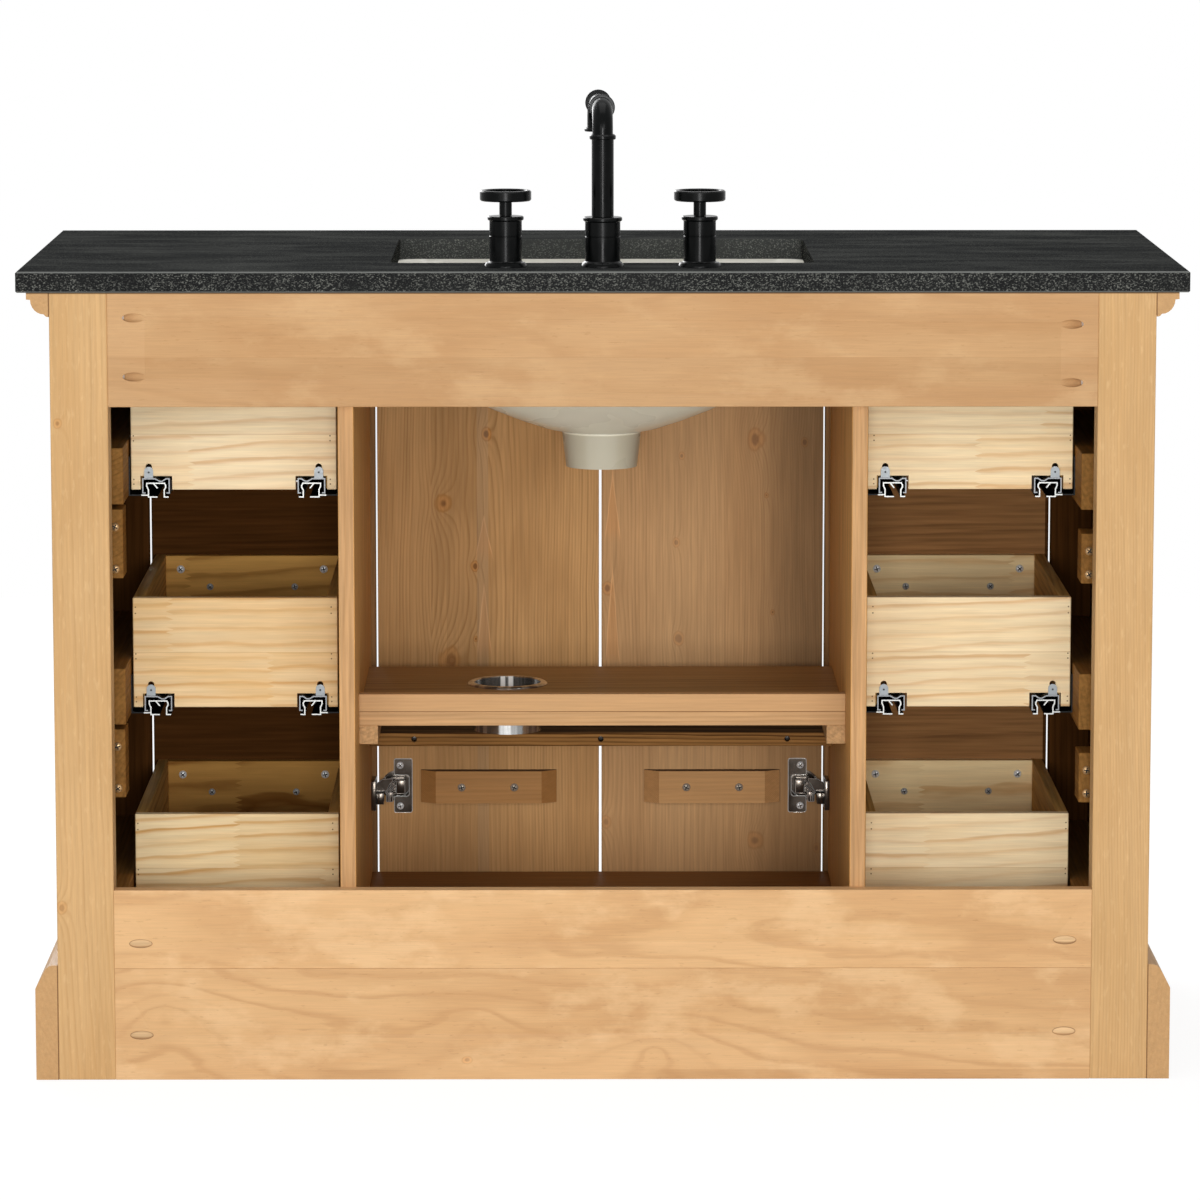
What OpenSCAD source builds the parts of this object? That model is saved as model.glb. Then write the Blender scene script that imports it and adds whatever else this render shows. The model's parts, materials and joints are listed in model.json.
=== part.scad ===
// Bathroom vanity unit: a stone top with an undermount basin and a three-hole faucet, on an
// open-backed wooden cabinet with two inset doors, six inset drawers and a centre shelf.
// Millimetres. The front faces -Y, +Z is up, and the origin is on the floor under the middle.

/* [Stone top] */
// Width of the stone top
top_w = 1219.2; // [1210:0.1:1230]
// Depth of the stone top
top_d = 559; // [556:1:562]
// Thickness of the stone top
top_t = 22; // [18:1:26]
// Width of the basin cut-out
cutout_w = 448; // [440:1:450]
// Depth of the basin cut-out
cutout_d = 318; // [310:1:320]
// Outside depth of the bowl below the stone
bowl_h = 174; // [165:1:180]

/* [Cabinet] */
// Width of the cabinet over its side panels
cabinet_w = 1150; // [1148:1:1156]
// Height of the cabinet under the stone
cabinet_h = 834; // [832:1:838]
// Distance from the back of the unit to the face of the doors
face_depth = 538; // [536:1:542]
// Thickness of the face frame, the doors and the drawer fronts
face_t = 20; // [18:1:20]
// Width of a rear post
post_w = 60; // [58:1:62]
// Thickness of a rear post, front to back
post_t = 38; // [34:1:42]
// Thickness of the two rear rails
rail_t = 18; // [17:1:20]
// Bottom edge of the rear top rail
top_rail_z = 715; // [700:1:720]
// Top edge of the rear bottom rail
bottom_rail_z = 203.6; // [195:0.1:210]
// Thickness of a partition
partition_t = 16.5; // [16:0.1:17]
// Height of the base moulding at the sides
base_h = 124; // [120:1:126]

/* [Doors and drawers] */
// Bottom edge of the doors and of the lowest drawer fronts
front_z = 103; // [102:1:104]
// Height of a drawer front
drawer_front_h = 233; // [230:1:233]
// Gap around doors and drawer fronts
reveal = 3; // [2:0.5:4]
// Height of a drawer box
box_h = 119; // [110:1:125]
// Length of a drawer box, front to back
box_l = 351; // [346:1:354]
// Thickness of the drawer box walls
box_t = 12; // [11:0.5:12]
// Distance between the two screws of a pull
pull_pitch = 96; // [96, 128]
// How far a pull stands out
pull_reach = 32; // [28:1:36]

/* [Shelf] */
// Top face of the centre shelf
shelf_z = 372.5; // [365:0.5:380]
// Distance from the back of the unit to the shelf's rear edge
shelf_back = 130; // [125:1:140]
// Distance from the back of the unit to the shelf's front edge
shelf_front = 449; // [440:1:460]
// Inner radius of the dryer cup
cup_r = 36.5; // [35:0.5:38]

/* [Faucet] */
// Distance from the middle of the spout to each valve
valve_spread = 101.6; // [100:0.1:104]
// Distance from the back of the unit to the faucet holes
faucet_depth = 64; // [60:1:68]
// Height of the spout's arm above the stone
arm_h = 165; // [150:1:180]
// Reach of the spout from its own axis
spout_reach = 142; // [130:1:150]
// Angle at which the spout rests, turned towards +X
spout_rest = 2; // [0:0.5:5]

/* [Hidden] */
top_edge = 1.5;
edge = 0.7;
// Width of the glue line between two boards of one node
glue = 0.05;
deck_z = cabinet_h + top_t;
rear_y = (face_depth + pull_reach) / 2;
face_y = rear_y - face_depth;
face_in = face_y + face_t;
half_w = cabinet_w / 2;
panel_t = 18;
panel_in = half_w - panel_t;
post_in = half_w - post_w;

// Face frame
outer_stile_w = 63;
outer_stile_in = half_w - outer_stile_w;
inner_stile_in = 255;
partition_in = 260.5;
partition_out = partition_in + partition_t;
head_rail_h = 23;
base_rail_h = 100;
floor_z = [107, 125];

// Basin
basin_y = rear_y - 269;
cutout_r = 12;
basin_sides = 48;
bowl_steps = 9;
bowl_fall = 1.25;
bowl_wall = 10;
bowl_ledge = 3;
basin_rim_w = 500;
basin_rim_d = 366;
basin_rim_t = 10;
throat_r = 40;
outlet_r = 22.5;
outlet_r_low = 36.75;
outlet_r_high = 42.25;
outlet_h = 38.4;

// Pocket screws that join the rear rails to the posts
pocket_x = post_in - 28;
pocket_angle = 23;
pocket_r = 4.8;
pocket_l = 16;
pilot_r = 2.1;
screw_r = 2;
screw_head_r = 4;
screw_head_l = 2.5;
screw_l = 32;
// Heights of the pockets, first those on the +X side and then those on the -X side
top_pockets = [[808, 746.5], [801, 740]];
low_pockets = [[146.5, 48], [149.5, 51.5]];
board_seam_z = 119.7;

// Mouldings
base_t = 24;
base_face_h = 98;
base_flat = 10;
plinth_t = 14;
plinth_h = 96;
cornice_out = 23.5;
cornice_front = 16;
cornice_h = 25;

// Drawers: their side of the unit, and the name and the step of each level
sides = ["left", "right"];
levels = ["bottom", "middle", "top"];
level_pitch = drawer_front_h + reveal;
bay_mid = (outer_stile_in + inner_stile_in + 22) / 2;
box_w = 220;
box_rise = 33;
box_bottom_rise = 13;
box_bottom_t = 6;
runner_back = rear_y - 163;
runner_front = face_in + 15;
runner_w = 29.6;
runner_inset = 12;
runner_top = box_bottom_rise;
sheet_t = 1.3;
channel_gap = 0.3;
bracket_gap = 1.7;
spacer_x = bay_mid + box_w / 2 + bracket_gap + sheet_t / 2;
notch_w = 34;
notch_h = 15;
hook_r = 1.5;
hook_h = 23.2;
hook_hole_r = 3.4;

// Doors
door_in = reveal / 2;
door_out = inner_stile_in - door_in;
door_top = front_z + 3 * level_pitch - reveal;
plank_groove = 2.5;
batten = [50, 204.5];
batten_h = 37;
batten_t = 14;
batten_bevel = 17;
batten_low = 206;
hinge_z = [224.5, 694.5];
hinge_cup_x = door_out - 21.5;
hinge_cup_r = 17.5;
hinge_cup_h = 11.5;
hinge_plate_t = 1.5;
pull_r = 6;
pull_post_r = 5;
pull_overrun = 16;
door_pull_x = 32;
door_pull_z = 710;

// Shelf
shelf_t = 14.9;
lip_h = 19.2;
lip_t = 15;
cleat_w = 20;
cleat_h = 20;
apron_t = 18;
apron_z = 284.5;
apron_hole_x = [-210, 0, 210];
cup_x = 103.6;
cup_y = rear_y - 325;
cup_wall = 1.2;
cup_flange_r = 44.2;
cup_l = 51;

// Faucet
faucet_y = rear_y - faucet_depth;
faucet_x = [-valve_spread, 0, valve_spread];
tap_hole_r = 17.5;
shank_r = 14;
shank_l = 72;
nut_r = 22;
nut_h = 9;
washer_r = 20.5;
washer_h = 3;
inlet_r = 10.3;
inlet_l = 22;
pipe_r = 11.6;
fitting_r = 10.8;
collar_r = 13.8;
bend_r = 22;
spout_base_h = 52;
stem_r = 6.6;
wheel_r = 27;
wheel_h = 11;
wheel_z = 69;

ROOT = ["countertop", "sink_basin", "rear_posts", "rear_top_rail", "rear_bottom_rail",
    "rail_plugs", "pocket_screws", "side_panels", "partitions", "cabinet_floor",
    "face_frame_stiles", "face_frame_rails", "base_moulding", "cornice_moulding",
    "centre_shelf", "shelf_lip", "shelf_cleats", "shelf_apron", "dryer_cup",
    "runner_spacers", "fixed_runners", "hinge_arms", "spout_base", "valve_bodies",
    "faucet_nuts", "spout", "hot_wheel", "cold_wheel"];
DOOR_PARTS = ["panel", "battens", "hinge_cups", "pull"];
DRAWER_PARTS = ["front", "box", "runners", "pull"];

// Shared shapes

// Distance in front of the back of the unit, as a Y coordinate
function back(depth) = rear_y - depth;

// Draws its children at +X and again mirrored at -X
module both_sides() {
    children();
    mirror([1, 0, 0]) children();
}

module eased_outline(w, h, ease) {
    polygon([[ease, 0], [w - ease, 0], [w, ease], [w, h - ease],
        [w - ease, h], [ease, h], [0, h - ease], [0, ease]]);
}

// A board between two corners, with every edge eased
module board(x, y, z, ease = edge) {
    size = [x[1] - x[0], y[1] - y[0], z[1] - z[0]];
    translate([x[0], y[0], z[0]])
        intersection() {
            linear_extrude(size[2]) eased_outline(size[0], size[1], ease);
            translate([0, size[1], 0]) rotate([90, 0, 0])
                linear_extrude(size[1]) eased_outline(size[0], size[2], ease);
            rotate([90, 0, 90])
                linear_extrude(size[0]) eased_outline(size[1], size[2], ease);
        }
}

module box(x, y, z) {
    translate([x[0], y[0], z[0]]) cube([x[1] - x[0], y[1] - y[0], z[1] - z[0]]);
}

module rounded_rectangle(w, d, r) {
    square([w - 2 * r, d], center = true);
    square([w, d - 2 * r], center = true);
    for (x = [-1, 1], y = [-1, 1])
        translate([x * (w / 2 - r), y * (d / 2 - r)]) circle(r, $fn = 48);
}

// A flat profile in X and Z, drawn out along Y from y[0] to y[1]
module along_y(y) {
    translate([0, y[1], 0]) rotate([90, 0, 0]) linear_extrude(y[1] - y[0]) children();
}

// Bent sheet metal: one flat strip between each two points of a path
module sheet(path, t) {
    for (i = [0:len(path) - 2]) {
        step = path[i + 1] - path[i];
        translate(path[i]) rotate(atan2(step[1], step[0]))
            translate([-t / 2, -t / 2]) square([norm(step) + t, t]);
    }
}

// A bar pull along X on the face y = 0, standing out towards -Y
module bar_pull() {
    bar_l = pull_pitch + 2 * pull_overrun;
    bar_y = pull_r - pull_reach;
    color("#17181a") {
        translate([-bar_l / 2, bar_y, 0]) rotate([0, 90, 0])
            cylinder(h = bar_l, r = pull_r, $fn = 32);
        for (x = [-1, 1])
            translate([x * pull_pitch / 2, 0, 0]) rotate([90, 0, 0])
                cylinder(h = -bar_y, r = pull_post_r, $fn = 32);
    }
}

// Stone top and basin

module countertop() {
    color("#2b2c2c")
        difference() {
            board([-top_w / 2, top_w / 2], [rear_y - top_d, rear_y], [cabinet_h, deck_z], top_edge);
            translate([0, basin_y, cabinet_h - 1])
                linear_extrude(top_t + 2) rounded_rectangle(cutout_w, cutout_d, cutout_r);
            for (x = faucet_x)
                translate([x, faucet_y, cabinet_h - 1])
                    cylinder(h = top_t + 2, r = tap_hole_r, $fn = 48);
        }
}

// One level of the bowl: a rounded rectangle at the rim that turns into a circle at the throat
function bowl_ring(a, b, power, z) = [
    for (i = [0:basin_sides - 1])
        let (t = 360 * i / basin_sides, c = cos(t), s = sin(t))
            [a * sign(c) * pow(abs(c), 2 / power), b * sign(s) * pow(abs(s), 2 / power), z]
];

function bowl_level(a, b, depth, turn) =
    let (fall = pow(cos(turn), bowl_fall))
        bowl_ring(throat_r + (a - throat_r) * fall, throat_r + (b - throat_r) * fall,
            2 + 10 * fall, cabinet_h - depth * sin(turn));

inside_a = cutout_w / 2 + bowl_ledge;
inside_b = cutout_d / 2 + bowl_ledge;
rim_turn = asin(basin_rim_t / bowl_h);
BOWL = [
    for (k = [0:bowl_steps])
        bowl_level(inside_a, inside_b, bowl_h - bowl_wall, 90 - 90 * k / bowl_steps),
    bowl_ring(basin_rim_w / 2, basin_rim_d / 2, 14, cabinet_h),
    bowl_ring(basin_rim_w / 2, basin_rim_d / 2, 14, cabinet_h - basin_rim_t),
    for (k = [0:bowl_steps])
        bowl_level(inside_a + bowl_wall, inside_b + bowl_wall, bowl_h,
            rim_turn + (90 - rim_turn) * k / bowl_steps)
];

module sink_basin() {
    points = [for (ring = BOWL) each ring];
    rings = len(BOWL);
    faces = [
        for (k = [0:rings - 1], i = [0:basin_sides - 1])
            let (
                j = (i + 1) % basin_sides,
                here = k * basin_sides,
                next = ((k + 1) % rings) * basin_sides
            )
                each [[here + i, here + j, next + j], [here + i, next + j, next + i]]
    ];
    floor_inside = cabinet_h - bowl_h + bowl_wall;
    color("#c9c3b2")
        translate([0, basin_y, 0])
            difference() {
                union() {
                    polyhedron(points, faces);
                    translate([0, 0, cabinet_h - bowl_h - outlet_h])
                        cylinder(h = outlet_h, r1 = outlet_r_low, r2 = outlet_r_high, $fn = 64);
                    translate([0, 0, cabinet_h - bowl_h - 0.5])
                        cylinder(h = bowl_wall, r = outlet_r_high, $fn = 64);
                }
                translate([0, 0, cabinet_h - bowl_h - outlet_h - 1])
                    cylinder(h = outlet_h + bowl_wall + 2, r = outlet_r, $fn = 64);
                translate([0, 0, floor_inside - 3])
                    cylinder(h = 5, r = outlet_r + 9, $fn = 64);
            }
}

// Rear frame

// Puts its children on the slanted axis of one pocket, with +Z going into the joint
module on_pocket_axis(z) {
    translate([pocket_x, rear_y, z]) rotate([0, 90, -pocket_angle]) children();
}

// Repeats its children at each pocket of a rail
module at_pockets(heights) {
    for (side = [0, 1], z = heights[side])
        mirror([side, 0, 0]) on_pocket_axis(z) children();
}

module pocket_bores(heights) {
    at_pockets(heights) {
        translate([0, 0, -30]) cylinder(h = 30 + pocket_l, r = pocket_r, $fn = 32);
        cylinder(h = pocket_l + screw_l, r = pilot_r, $fn = 24);
    }
}

module rear_posts() {
    color("#dcb57f")
        difference() {
            both_sides() board([post_in, half_w], [back(post_t), rear_y], [0, cabinet_h]);
            for (heights = [top_pockets, low_pockets])
                at_pockets(heights)
                    cylinder(h = pocket_l + screw_l, r = pilot_r, $fn = 24);
        }
}

module rear_top_rail() {
    color("#d9ae78")
        difference() {
            board([-post_in, post_in], [back(rail_t), rear_y], [top_rail_z, cabinet_h]);
            pocket_bores(top_pockets);
        }
}

module rear_bottom_rail() {
    color("#d9ae78")
        difference() {
            union() {
                board([-post_in, post_in], [back(rail_t), rear_y], [0, board_seam_z - glue], 0.3);
                board([-post_in, post_in], [back(rail_t), rear_y],
                    [board_seam_z, bottom_rail_z], 0.3);
            }
            pocket_bores(low_pockets);
        }
}

module rail_plugs() {
    color("#cfa066")
        intersection() {
            at_pockets(low_pockets)
                translate([0, 0, -25])
                    cylinder(h = 25 + pocket_l - screw_head_l - 1, r = pocket_r - 0.1, $fn = 32);
            box([-post_in, post_in], [back(rail_t), rear_y], [0, bottom_rail_z]);
        }
}

module pocket_screws() {
    color("#8d8f92")
        for (heights = [top_pockets, low_pockets])
            at_pockets(heights)
                translate([0, 0, pocket_l - screw_head_l]) {
                    cylinder(h = screw_head_l, r = screw_head_r, $fn = 24);
                    cylinder(h = screw_l, r = screw_r, $fn = 24);
                }
}

// Carcass

module side_panels() {
    color("#d2a66d")
        both_sides()
            difference() {
                board([panel_in, half_w], [face_in, back(post_t)], [0, cabinet_h]);
                for (k = [1:3])
                    translate([half_w, face_in + k * (back(post_t) - face_in) / 4, base_h])
                        linear_extrude(cabinet_h - base_h - cornice_h) v_groove();
            }
}

// The outline of a V-shaped groove, sunk into a face that looks along +X
module v_groove() {
    polygon([[1, -plank_groove - 1], [1, plank_groove + 1], [-plank_groove, 0]]);
}

module partitions() {
    color("#c79d66")
        both_sides()
            board([partition_in, partition_out], [face_in, back(rail_t)], [0, cabinet_h]);
}

module cabinet_floor() {
    color("#8f6337")
        board([-partition_in, partition_in], [face_in + reveal, back(rail_t + 2)], floor_z);
}

module face_frame_stiles() {
    color("#cda06a") {
        both_sides() board([outer_stile_in, half_w], [face_y, face_in], [0, cabinet_h]);
        both_sides()
            board([inner_stile_in, inner_stile_in + 22], [face_y, face_in],
                [base_rail_h, cabinet_h - head_rail_h]);
    }
}

module face_frame_rails() {
    color("#cda06a") {
        board([-outer_stile_in, outer_stile_in], [face_y, face_in],
            [cabinet_h - head_rail_h, cabinet_h]);
        board([-outer_stile_in, outer_stile_in], [face_y, face_in], [0, base_rail_h]);
    }
}

// The base moulding's profile, standing on its back at x = 0
module base_profile() {
    polygon([[0, 0], [base_t, 0], [base_t, base_face_h], [base_t - 1.2, base_face_h + 2.6],
        [base_flat + 3, base_h - 5], [base_flat, base_h - 2.2], [base_flat - 3, base_h - 1],
        [0, base_h - 0.5]]);
}

// Cuts off what lies beyond the mitre at the front right corner of the unit
module side_of_mitre(out, forward) {
    linear_extrude(cabinet_h)
        polygon([[half_w, rear_y], [half_w + out, rear_y],
            [half_w + out, face_y - forward], [half_w, face_y]]);
}

module front_of_mitre(from, out, forward) {
    linear_extrude(cabinet_h)
        polygon([[from, face_y], [half_w - glue, face_y],
            [half_w + out - glue, face_y - forward], [from, face_y - forward]]);
}

module base_moulding() {
    color("#d2a66d") {
        both_sides() {
            intersection() {
                along_y([face_y - base_t, rear_y]) translate([half_w, 0]) base_profile();
                side_of_mitre(base_t, base_t);
            }
            intersection() {
                translate([outer_stile_in + 1, face_y, 0]) rotate([90, 0, -90])
                    mirror([0, 0, 1]) linear_extrude(outer_stile_w + base_t) base_profile();
                front_of_mitre(outer_stile_in + 1, base_t, base_t);
            }
        }
        board([glue - outer_stile_in - 1, outer_stile_in + 1 - glue],
            [face_y - plinth_t, face_y], [0, plinth_h]);
    }
}

// The cornice's profile, hanging from z = 0: a fillet, a quarter round and a bead
module cornice_profile(out) {
    fillet_h = 6.8;
    round_w = out * 0.6;
    round_h = 15;
    bead_out = out * 0.22;
    polygon([
        [0, 0], [out, 0], [out, -fillet_h],
        for (k = [0:6])
            let (t = 90 * k / 6)
                [bead_out + round_w * cos(t), -fillet_h - 0.5 - round_h * sin(t)],
        [bead_out - 1, -fillet_h - round_h - 2], [out * 0.1, -cornice_h], [0, -cornice_h]
    ]);
}

module cornice_moulding() {
    length = cabinet_w + 2 * cornice_out;
    color("#d2a66d") {
        both_sides()
            intersection() {
                along_y([face_y - cornice_front, rear_y])
                    translate([half_w, cabinet_h]) cornice_profile(cornice_out);
                side_of_mitre(cornice_out, cornice_front);
            }
        intersection() {
            translate([-length / 2, face_y, cabinet_h]) rotate([90, 0, -90])
                mirror([0, 0, 1]) linear_extrude(length) cornice_profile(cornice_front);
            union() {
                front_of_mitre(-1, cornice_out, cornice_front);
                mirror([1, 0, 0]) front_of_mitre(-1, cornice_out, cornice_front);
            }
        }
    }
}

// Shelf with the dryer cup

module centre_shelf() {
    color("#6b4524")
        difference() {
            board([-partition_in, partition_in], [back(shelf_front), back(shelf_back)],
                [shelf_z - shelf_t, shelf_z], 0.4);
            translate([cup_x, cup_y, shelf_z - shelf_t - 1])
                cylinder(h = shelf_t + 2, r = cup_r + cup_wall + 0.1, $fn = 64);
        }
}

module shelf_lip() {
    color("#cc9f67")
        board([-partition_in, partition_in], [back(shelf_back + lip_t), back(shelf_back)],
            [shelf_z, shelf_z + lip_h], 0.4);
}

module shelf_cleats() {
    color("#b98a54")
        both_sides()
            board([partition_in - cleat_w, partition_in],
                [back(shelf_front - apron_t), back(shelf_back)],
                [shelf_z - shelf_t - cleat_h, shelf_z - shelf_t], 0.4);
}

module shelf_apron() {
    color("#6d4826")
        difference() {
            board([-partition_in, partition_in], [back(shelf_front), back(shelf_front - apron_t)],
                [apron_z, shelf_z - shelf_t]);
            for (x = apron_hole_x)
                translate([x, back(shelf_front - apron_t - 1), apron_z + 8]) rotate([90, 0, 0])
                    cylinder(h = apron_t + 2, r = 3.2, $fn = 24);
        }
}

module dryer_cup() {
    flange_t = 3;
    outer_r = cup_r + cup_wall;
    color("#c9cbcd")
        translate([cup_x, cup_y, shelf_z])
            difference() {
                union() {
                    translate([0, 0, -cup_l]) cylinder(h = cup_l + 1, r = outer_r, $fn = 64);
                    rotate_extrude($fn = 64)
                        polygon([[cup_r - 0.5, 0], [cup_flange_r, 0], [cup_flange_r, 1],
                            [cup_flange_r - 1.5, 2.4], [cup_flange_r - 4, flange_t],
                            [cup_r - 0.5, flange_t]]);
                }
                translate([0, 0, -cup_l - 1])
                    cylinder(h = cup_l + flange_t + 2, r = cup_r, $fn = 64);
            }
}

// Drawer runners

function box_z(level) = front_z + level * level_pitch + box_rise;

// Long blocks that carry the outer brackets, with a short screwed block under each
module runner_spacers() {
    drop = 6.5;
    color("#a87b47")
        for (side = [0, 1], level = [0:2]) {
            z = box_z(level) - 6 - side * drop;
            mirror([side, 0, 0]) {
                board([spacer_x, panel_in], [face_in, back(88)], [z, z + 60]);
                if (level > 0)
                    board([spacer_x + 1.5, panel_in], [back(140), back(96)],
                        [z - 80, z - 6.5 - side * 20]);
            }
        }
}

// The cabinet-side profile of one runner: x from the channel's outer edge towards the middle of
// the drawer, y up from the drawer's bottom edge
module fixed_profile(bracket_x) {
    foot = -7.4;
    sheet([[15.6, foot], [6.7, foot], [6.7, 0.4], [5, 4.2], [5, 7.4], [13, 7.4]], sheet_t);
    sheet([[13, 7.4], [24, 7.4], [25.2, 5], [25.2, 3], [23.6, 0], [23.6, foot], [27.6, foot]],
        sheet_t);
    sheet([[6.7, -5.4], [bracket_x, -5.4], [bracket_x, 12], [bracket_x, 35]], sheet_t);
    sheet([[12, 7.4], [16, 2.5]], sheet_t);
}

// Carries a profile of one drawer's outer runner (turn 0) or inner runner (turn 1) to its place
module at_runners(level, turns = [0, 1]) {
    for (turn = turns)
        translate([bay_mid, 0, box_z(level)]) mirror([turn, 0, 0])
            translate([box_w / 2 - runner_inset, 0, 0]) mirror([1, 0, 0]) children();
}

module fixed_runners() {
    color("#2e3032")
        both_sides()
            for (level = [0:2]) {
                at_runners(level, [0])
                    along_y([runner_front, runner_back])
                        fixed_profile(-runner_inset - bracket_gap);
                at_runners(level, [1])
                    along_y([runner_front, runner_back])
                        fixed_profile(partition_out + sheet_t / 2 + box_w / 2 - bay_mid - runner_inset);
            }
}

// The moving channel, its flat top dented on the side away from the hook
module moving_profile() {
    low = -3.2;
    high = runner_top - sheet_t / 2 - channel_gap;
    sheet([[3, low], [sheet_t / 2, low], [sheet_t / 2, high], [14, high], [18.5, high - 2.6],
        [21.5, high - 2.6], [25.5, high], [runner_w - sheet_t / 2, high],
        [runner_w - sheet_t / 2, low], [runner_w - 3, low]], sheet_t);
}

// The rounded tab that stands up behind the drawer, and the pin that goes in through its back
module runner_hook() {
    tab_w = 9.6;
    tab_y = rear_y - 167 + 0.2;
    centre_x = 7;
    translate([centre_x, tab_y, 0]) {
        along_y([0, 1.6]) {
            translate([-tab_w / 2, runner_top - 1]) square([tab_w, 8]);
            translate([0, runner_top + 7]) circle(tab_w / 2, $fn = 32);
        }
        translate([0, 0.5, hook_h]) rotate([90, 0, 0]) cylinder(h = 8, r = hook_r, $fn = 24);
    }
}

module drawer_runners(level) {
    color("#5c6063")
        at_runners(level) {
            along_y([runner_front, runner_back - 1]) moving_profile();
            runner_hook();
        }
}

module drawer_box(level) {
    z = box_z(level);
    x = [bay_mid - box_w / 2, bay_mid + box_w / 2];
    y = [face_in, face_in + box_l];
    inside_x = [x[0] + box_t + glue, x[1] - box_t - glue];
    color("#e8cd9c")
        difference() {
            union() {
                board(x, [y[1] - box_t, y[1]], [z, z + box_h]);
                board(inside_x, [y[0], y[0] + box_t + 1], [z + box_bottom_rise + 1, z + box_h]);
                for (side = [x[0], x[1] - box_t])
                    board([side, side + box_t], [y[0], y[1] - box_t - glue], [z, z + box_h]);
                box(inside_x, [y[0] + box_t + 1 + glue, y[1] - box_t - glue],
                    [z + box_bottom_rise, z + box_bottom_rise + box_bottom_t]);
            }
            for (side = [x[0] + runner_inset - 2, x[1] - runner_inset + 2 - notch_w])
                box([side, side + notch_w], [y[1] - box_t - 1, y[1] + 1], [z - 1, z + notch_h]);
            for (turn = [-1, 1])
                translate([bay_mid + turn * (box_w / 2 - runner_inset - 7), y[1] + 1, z + hook_h + 1.6])
                    rotate([90, 0, 0]) cylinder(h = box_t + 2, r = hook_hole_r, $fn = 32);
        }
}

module drawer_front(level) {
    z = front_z + level * level_pitch;
    half = (outer_stile_in - inner_stile_in - 22) / 2 - reveal;
    color("#cfa26b")
        board([bay_mid - half, bay_mid + half], [face_y, face_in], [z, z + drawer_front_h], 1.5);
}

module drawer_pull(level) {
    z = front_z + level * level_pitch + drawer_front_h / 2;
    translate([bay_mid, face_y, z]) bar_pull();
}

// Doors, drawn at +X

module door_panel() {
    plank_w = (door_out - door_in) / 3;
    color("#9a6b3c")
        difference() {
            board([door_in, door_out], [face_y, face_in], [front_z, door_top], 1.2);
            for (k = [1, 2])
                translate([door_in + k * plank_w, face_y, front_z - 1]) rotate(-90)
                    linear_extrude(door_top - front_z + 2) v_groove();
            for (z = hinge_z)
                translate([hinge_cup_x, face_in + 1, z]) rotate([90, 0, 0])
                    cylinder(h = hinge_cup_h + 1.5, r = hinge_cup_r + 0.1, $fn = 48);
        }
}

module door_battens() {
    thin = 4;
    color("#a8773f")
        for (z = [batten_low, door_top + front_z - batten_low - batten_h])
            translate([0, face_in, z])
                linear_extrude(batten_h)
                    polygon([[batten[0], 0], [batten[1], 0], [batten[1], thin],
                        [batten[1] - batten_bevel, batten_t], [batten[0] + batten_bevel, batten_t],
                        [batten[0], thin]]);
}

// Cup and screw plate of each concealed hinge, with the end of its link
module door_hinge_cups() {
    plate = [door_out - 39.5, door_out - 17.9];
    plate_h = 63;
    color("#57504a")
        for (z = hinge_z)
            translate([0, face_in, z])
                difference() {
                    union() {
                        translate([hinge_cup_x, hinge_plate_t, 0]) rotate([90, 0, 0])
                            cylinder(h = hinge_cup_h + hinge_plate_t, r = hinge_cup_r, $fn = 48);
                        box(plate, [0, hinge_plate_t], [-plate_h / 2, plate_h / 2]);
                        box([hinge_cup_x - 8, hinge_cup_x + 8.5], [-hinge_cup_h + 1, 7], [-7, 7]);
                    }
                    difference() {
                        translate([hinge_cup_x, hinge_plate_t + 1, 0]) rotate([90, 0, 0])
                            cylinder(h = hinge_cup_h + hinge_plate_t, r = hinge_cup_r - 2,
                                $fn = 48);
                        box([hinge_cup_x - 8, hinge_cup_x + 8.5], [-hinge_cup_h, 8], [-7, 7]);
                    }
                }
}

module door_pull() {
    translate([door_pull_x, face_y, door_pull_z]) rotate([0, 90, 0]) bar_pull();
}

// The cabinet half of each hinge: a block on the partition and an arm that ends at the cup
module hinge_arms() {
    color("#4a4541")
        both_sides()
            for (z = hinge_z) {
                board([partition_in - 14.5, partition_in], [face_in + 5, face_in + 30],
                    [z - 17, z - 4]);
                box([hinge_cup_x + 9.2, partition_in - 10], [face_in + 5, face_in + 13],
                    [z - 14, z + 5]);
            }
}

// Faucet

// The part of each tap that stands on the stone, from its flange to its top ring
module tap_body(h, flange_r, body_r, ring_r) {
    translate([0, 0, deck_z])
        rotate_extrude($fn = 64)
            polygon([[0, 0], [flange_r, 0], [flange_r, 2], [flange_r - 1.5, 4.5],
                [body_r + 1, 5], [body_r, 6], [body_r, h * 0.6], [body_r - 0.5, h * 0.6 + 0.4],
                [body_r - 0.5, h * 0.6 + 1], [body_r, h * 0.6 + 1.4], [body_r, h - 5],
                [ring_r, h - 3.5], [ring_r, h - 1], [ring_r - 1, h], [0, h]]);
}

module spout_base() {
    color("#17181a")
        translate([0, faucet_y, 0])
            difference() {
                union() {
                    tap_body(spout_base_h, 22, 18.5, 20.5);
                    translate([0, 0, cabinet_h - 40]) cylinder(h = 41 + top_t, r = shank_r, $fn = 48);
                }
                translate([0, 0, deck_z + spout_base_h - 26]) cylinder(h = 27, r = 9.05, $fn = 48);
                translate([0, 0, cabinet_h - 41]) cylinder(h = 60 + top_t, r = 5, $fn = 32);
            }
}

module valve_bodies() {
    color("#17181a")
        for (x = [-valve_spread, valve_spread])
            translate([x, faucet_y, 0])
                difference() {
                    union() {
                        tap_body(53, 22.1, 17, 19);
                        translate([0, 0, deck_z - shank_l]) cylinder(h = shank_l + 1, r = shank_r,
                            $fn = 48);
                        translate([0, 0, deck_z - shank_l - inlet_l])
                            cylinder(h = inlet_l + 1, r = inlet_r, $fn = 48);
                    }
                    translate([0, 0, deck_z + 53 - 16]) cylinder(h = 17, r = 5.05, $fn = 32);
                }
}

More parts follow.
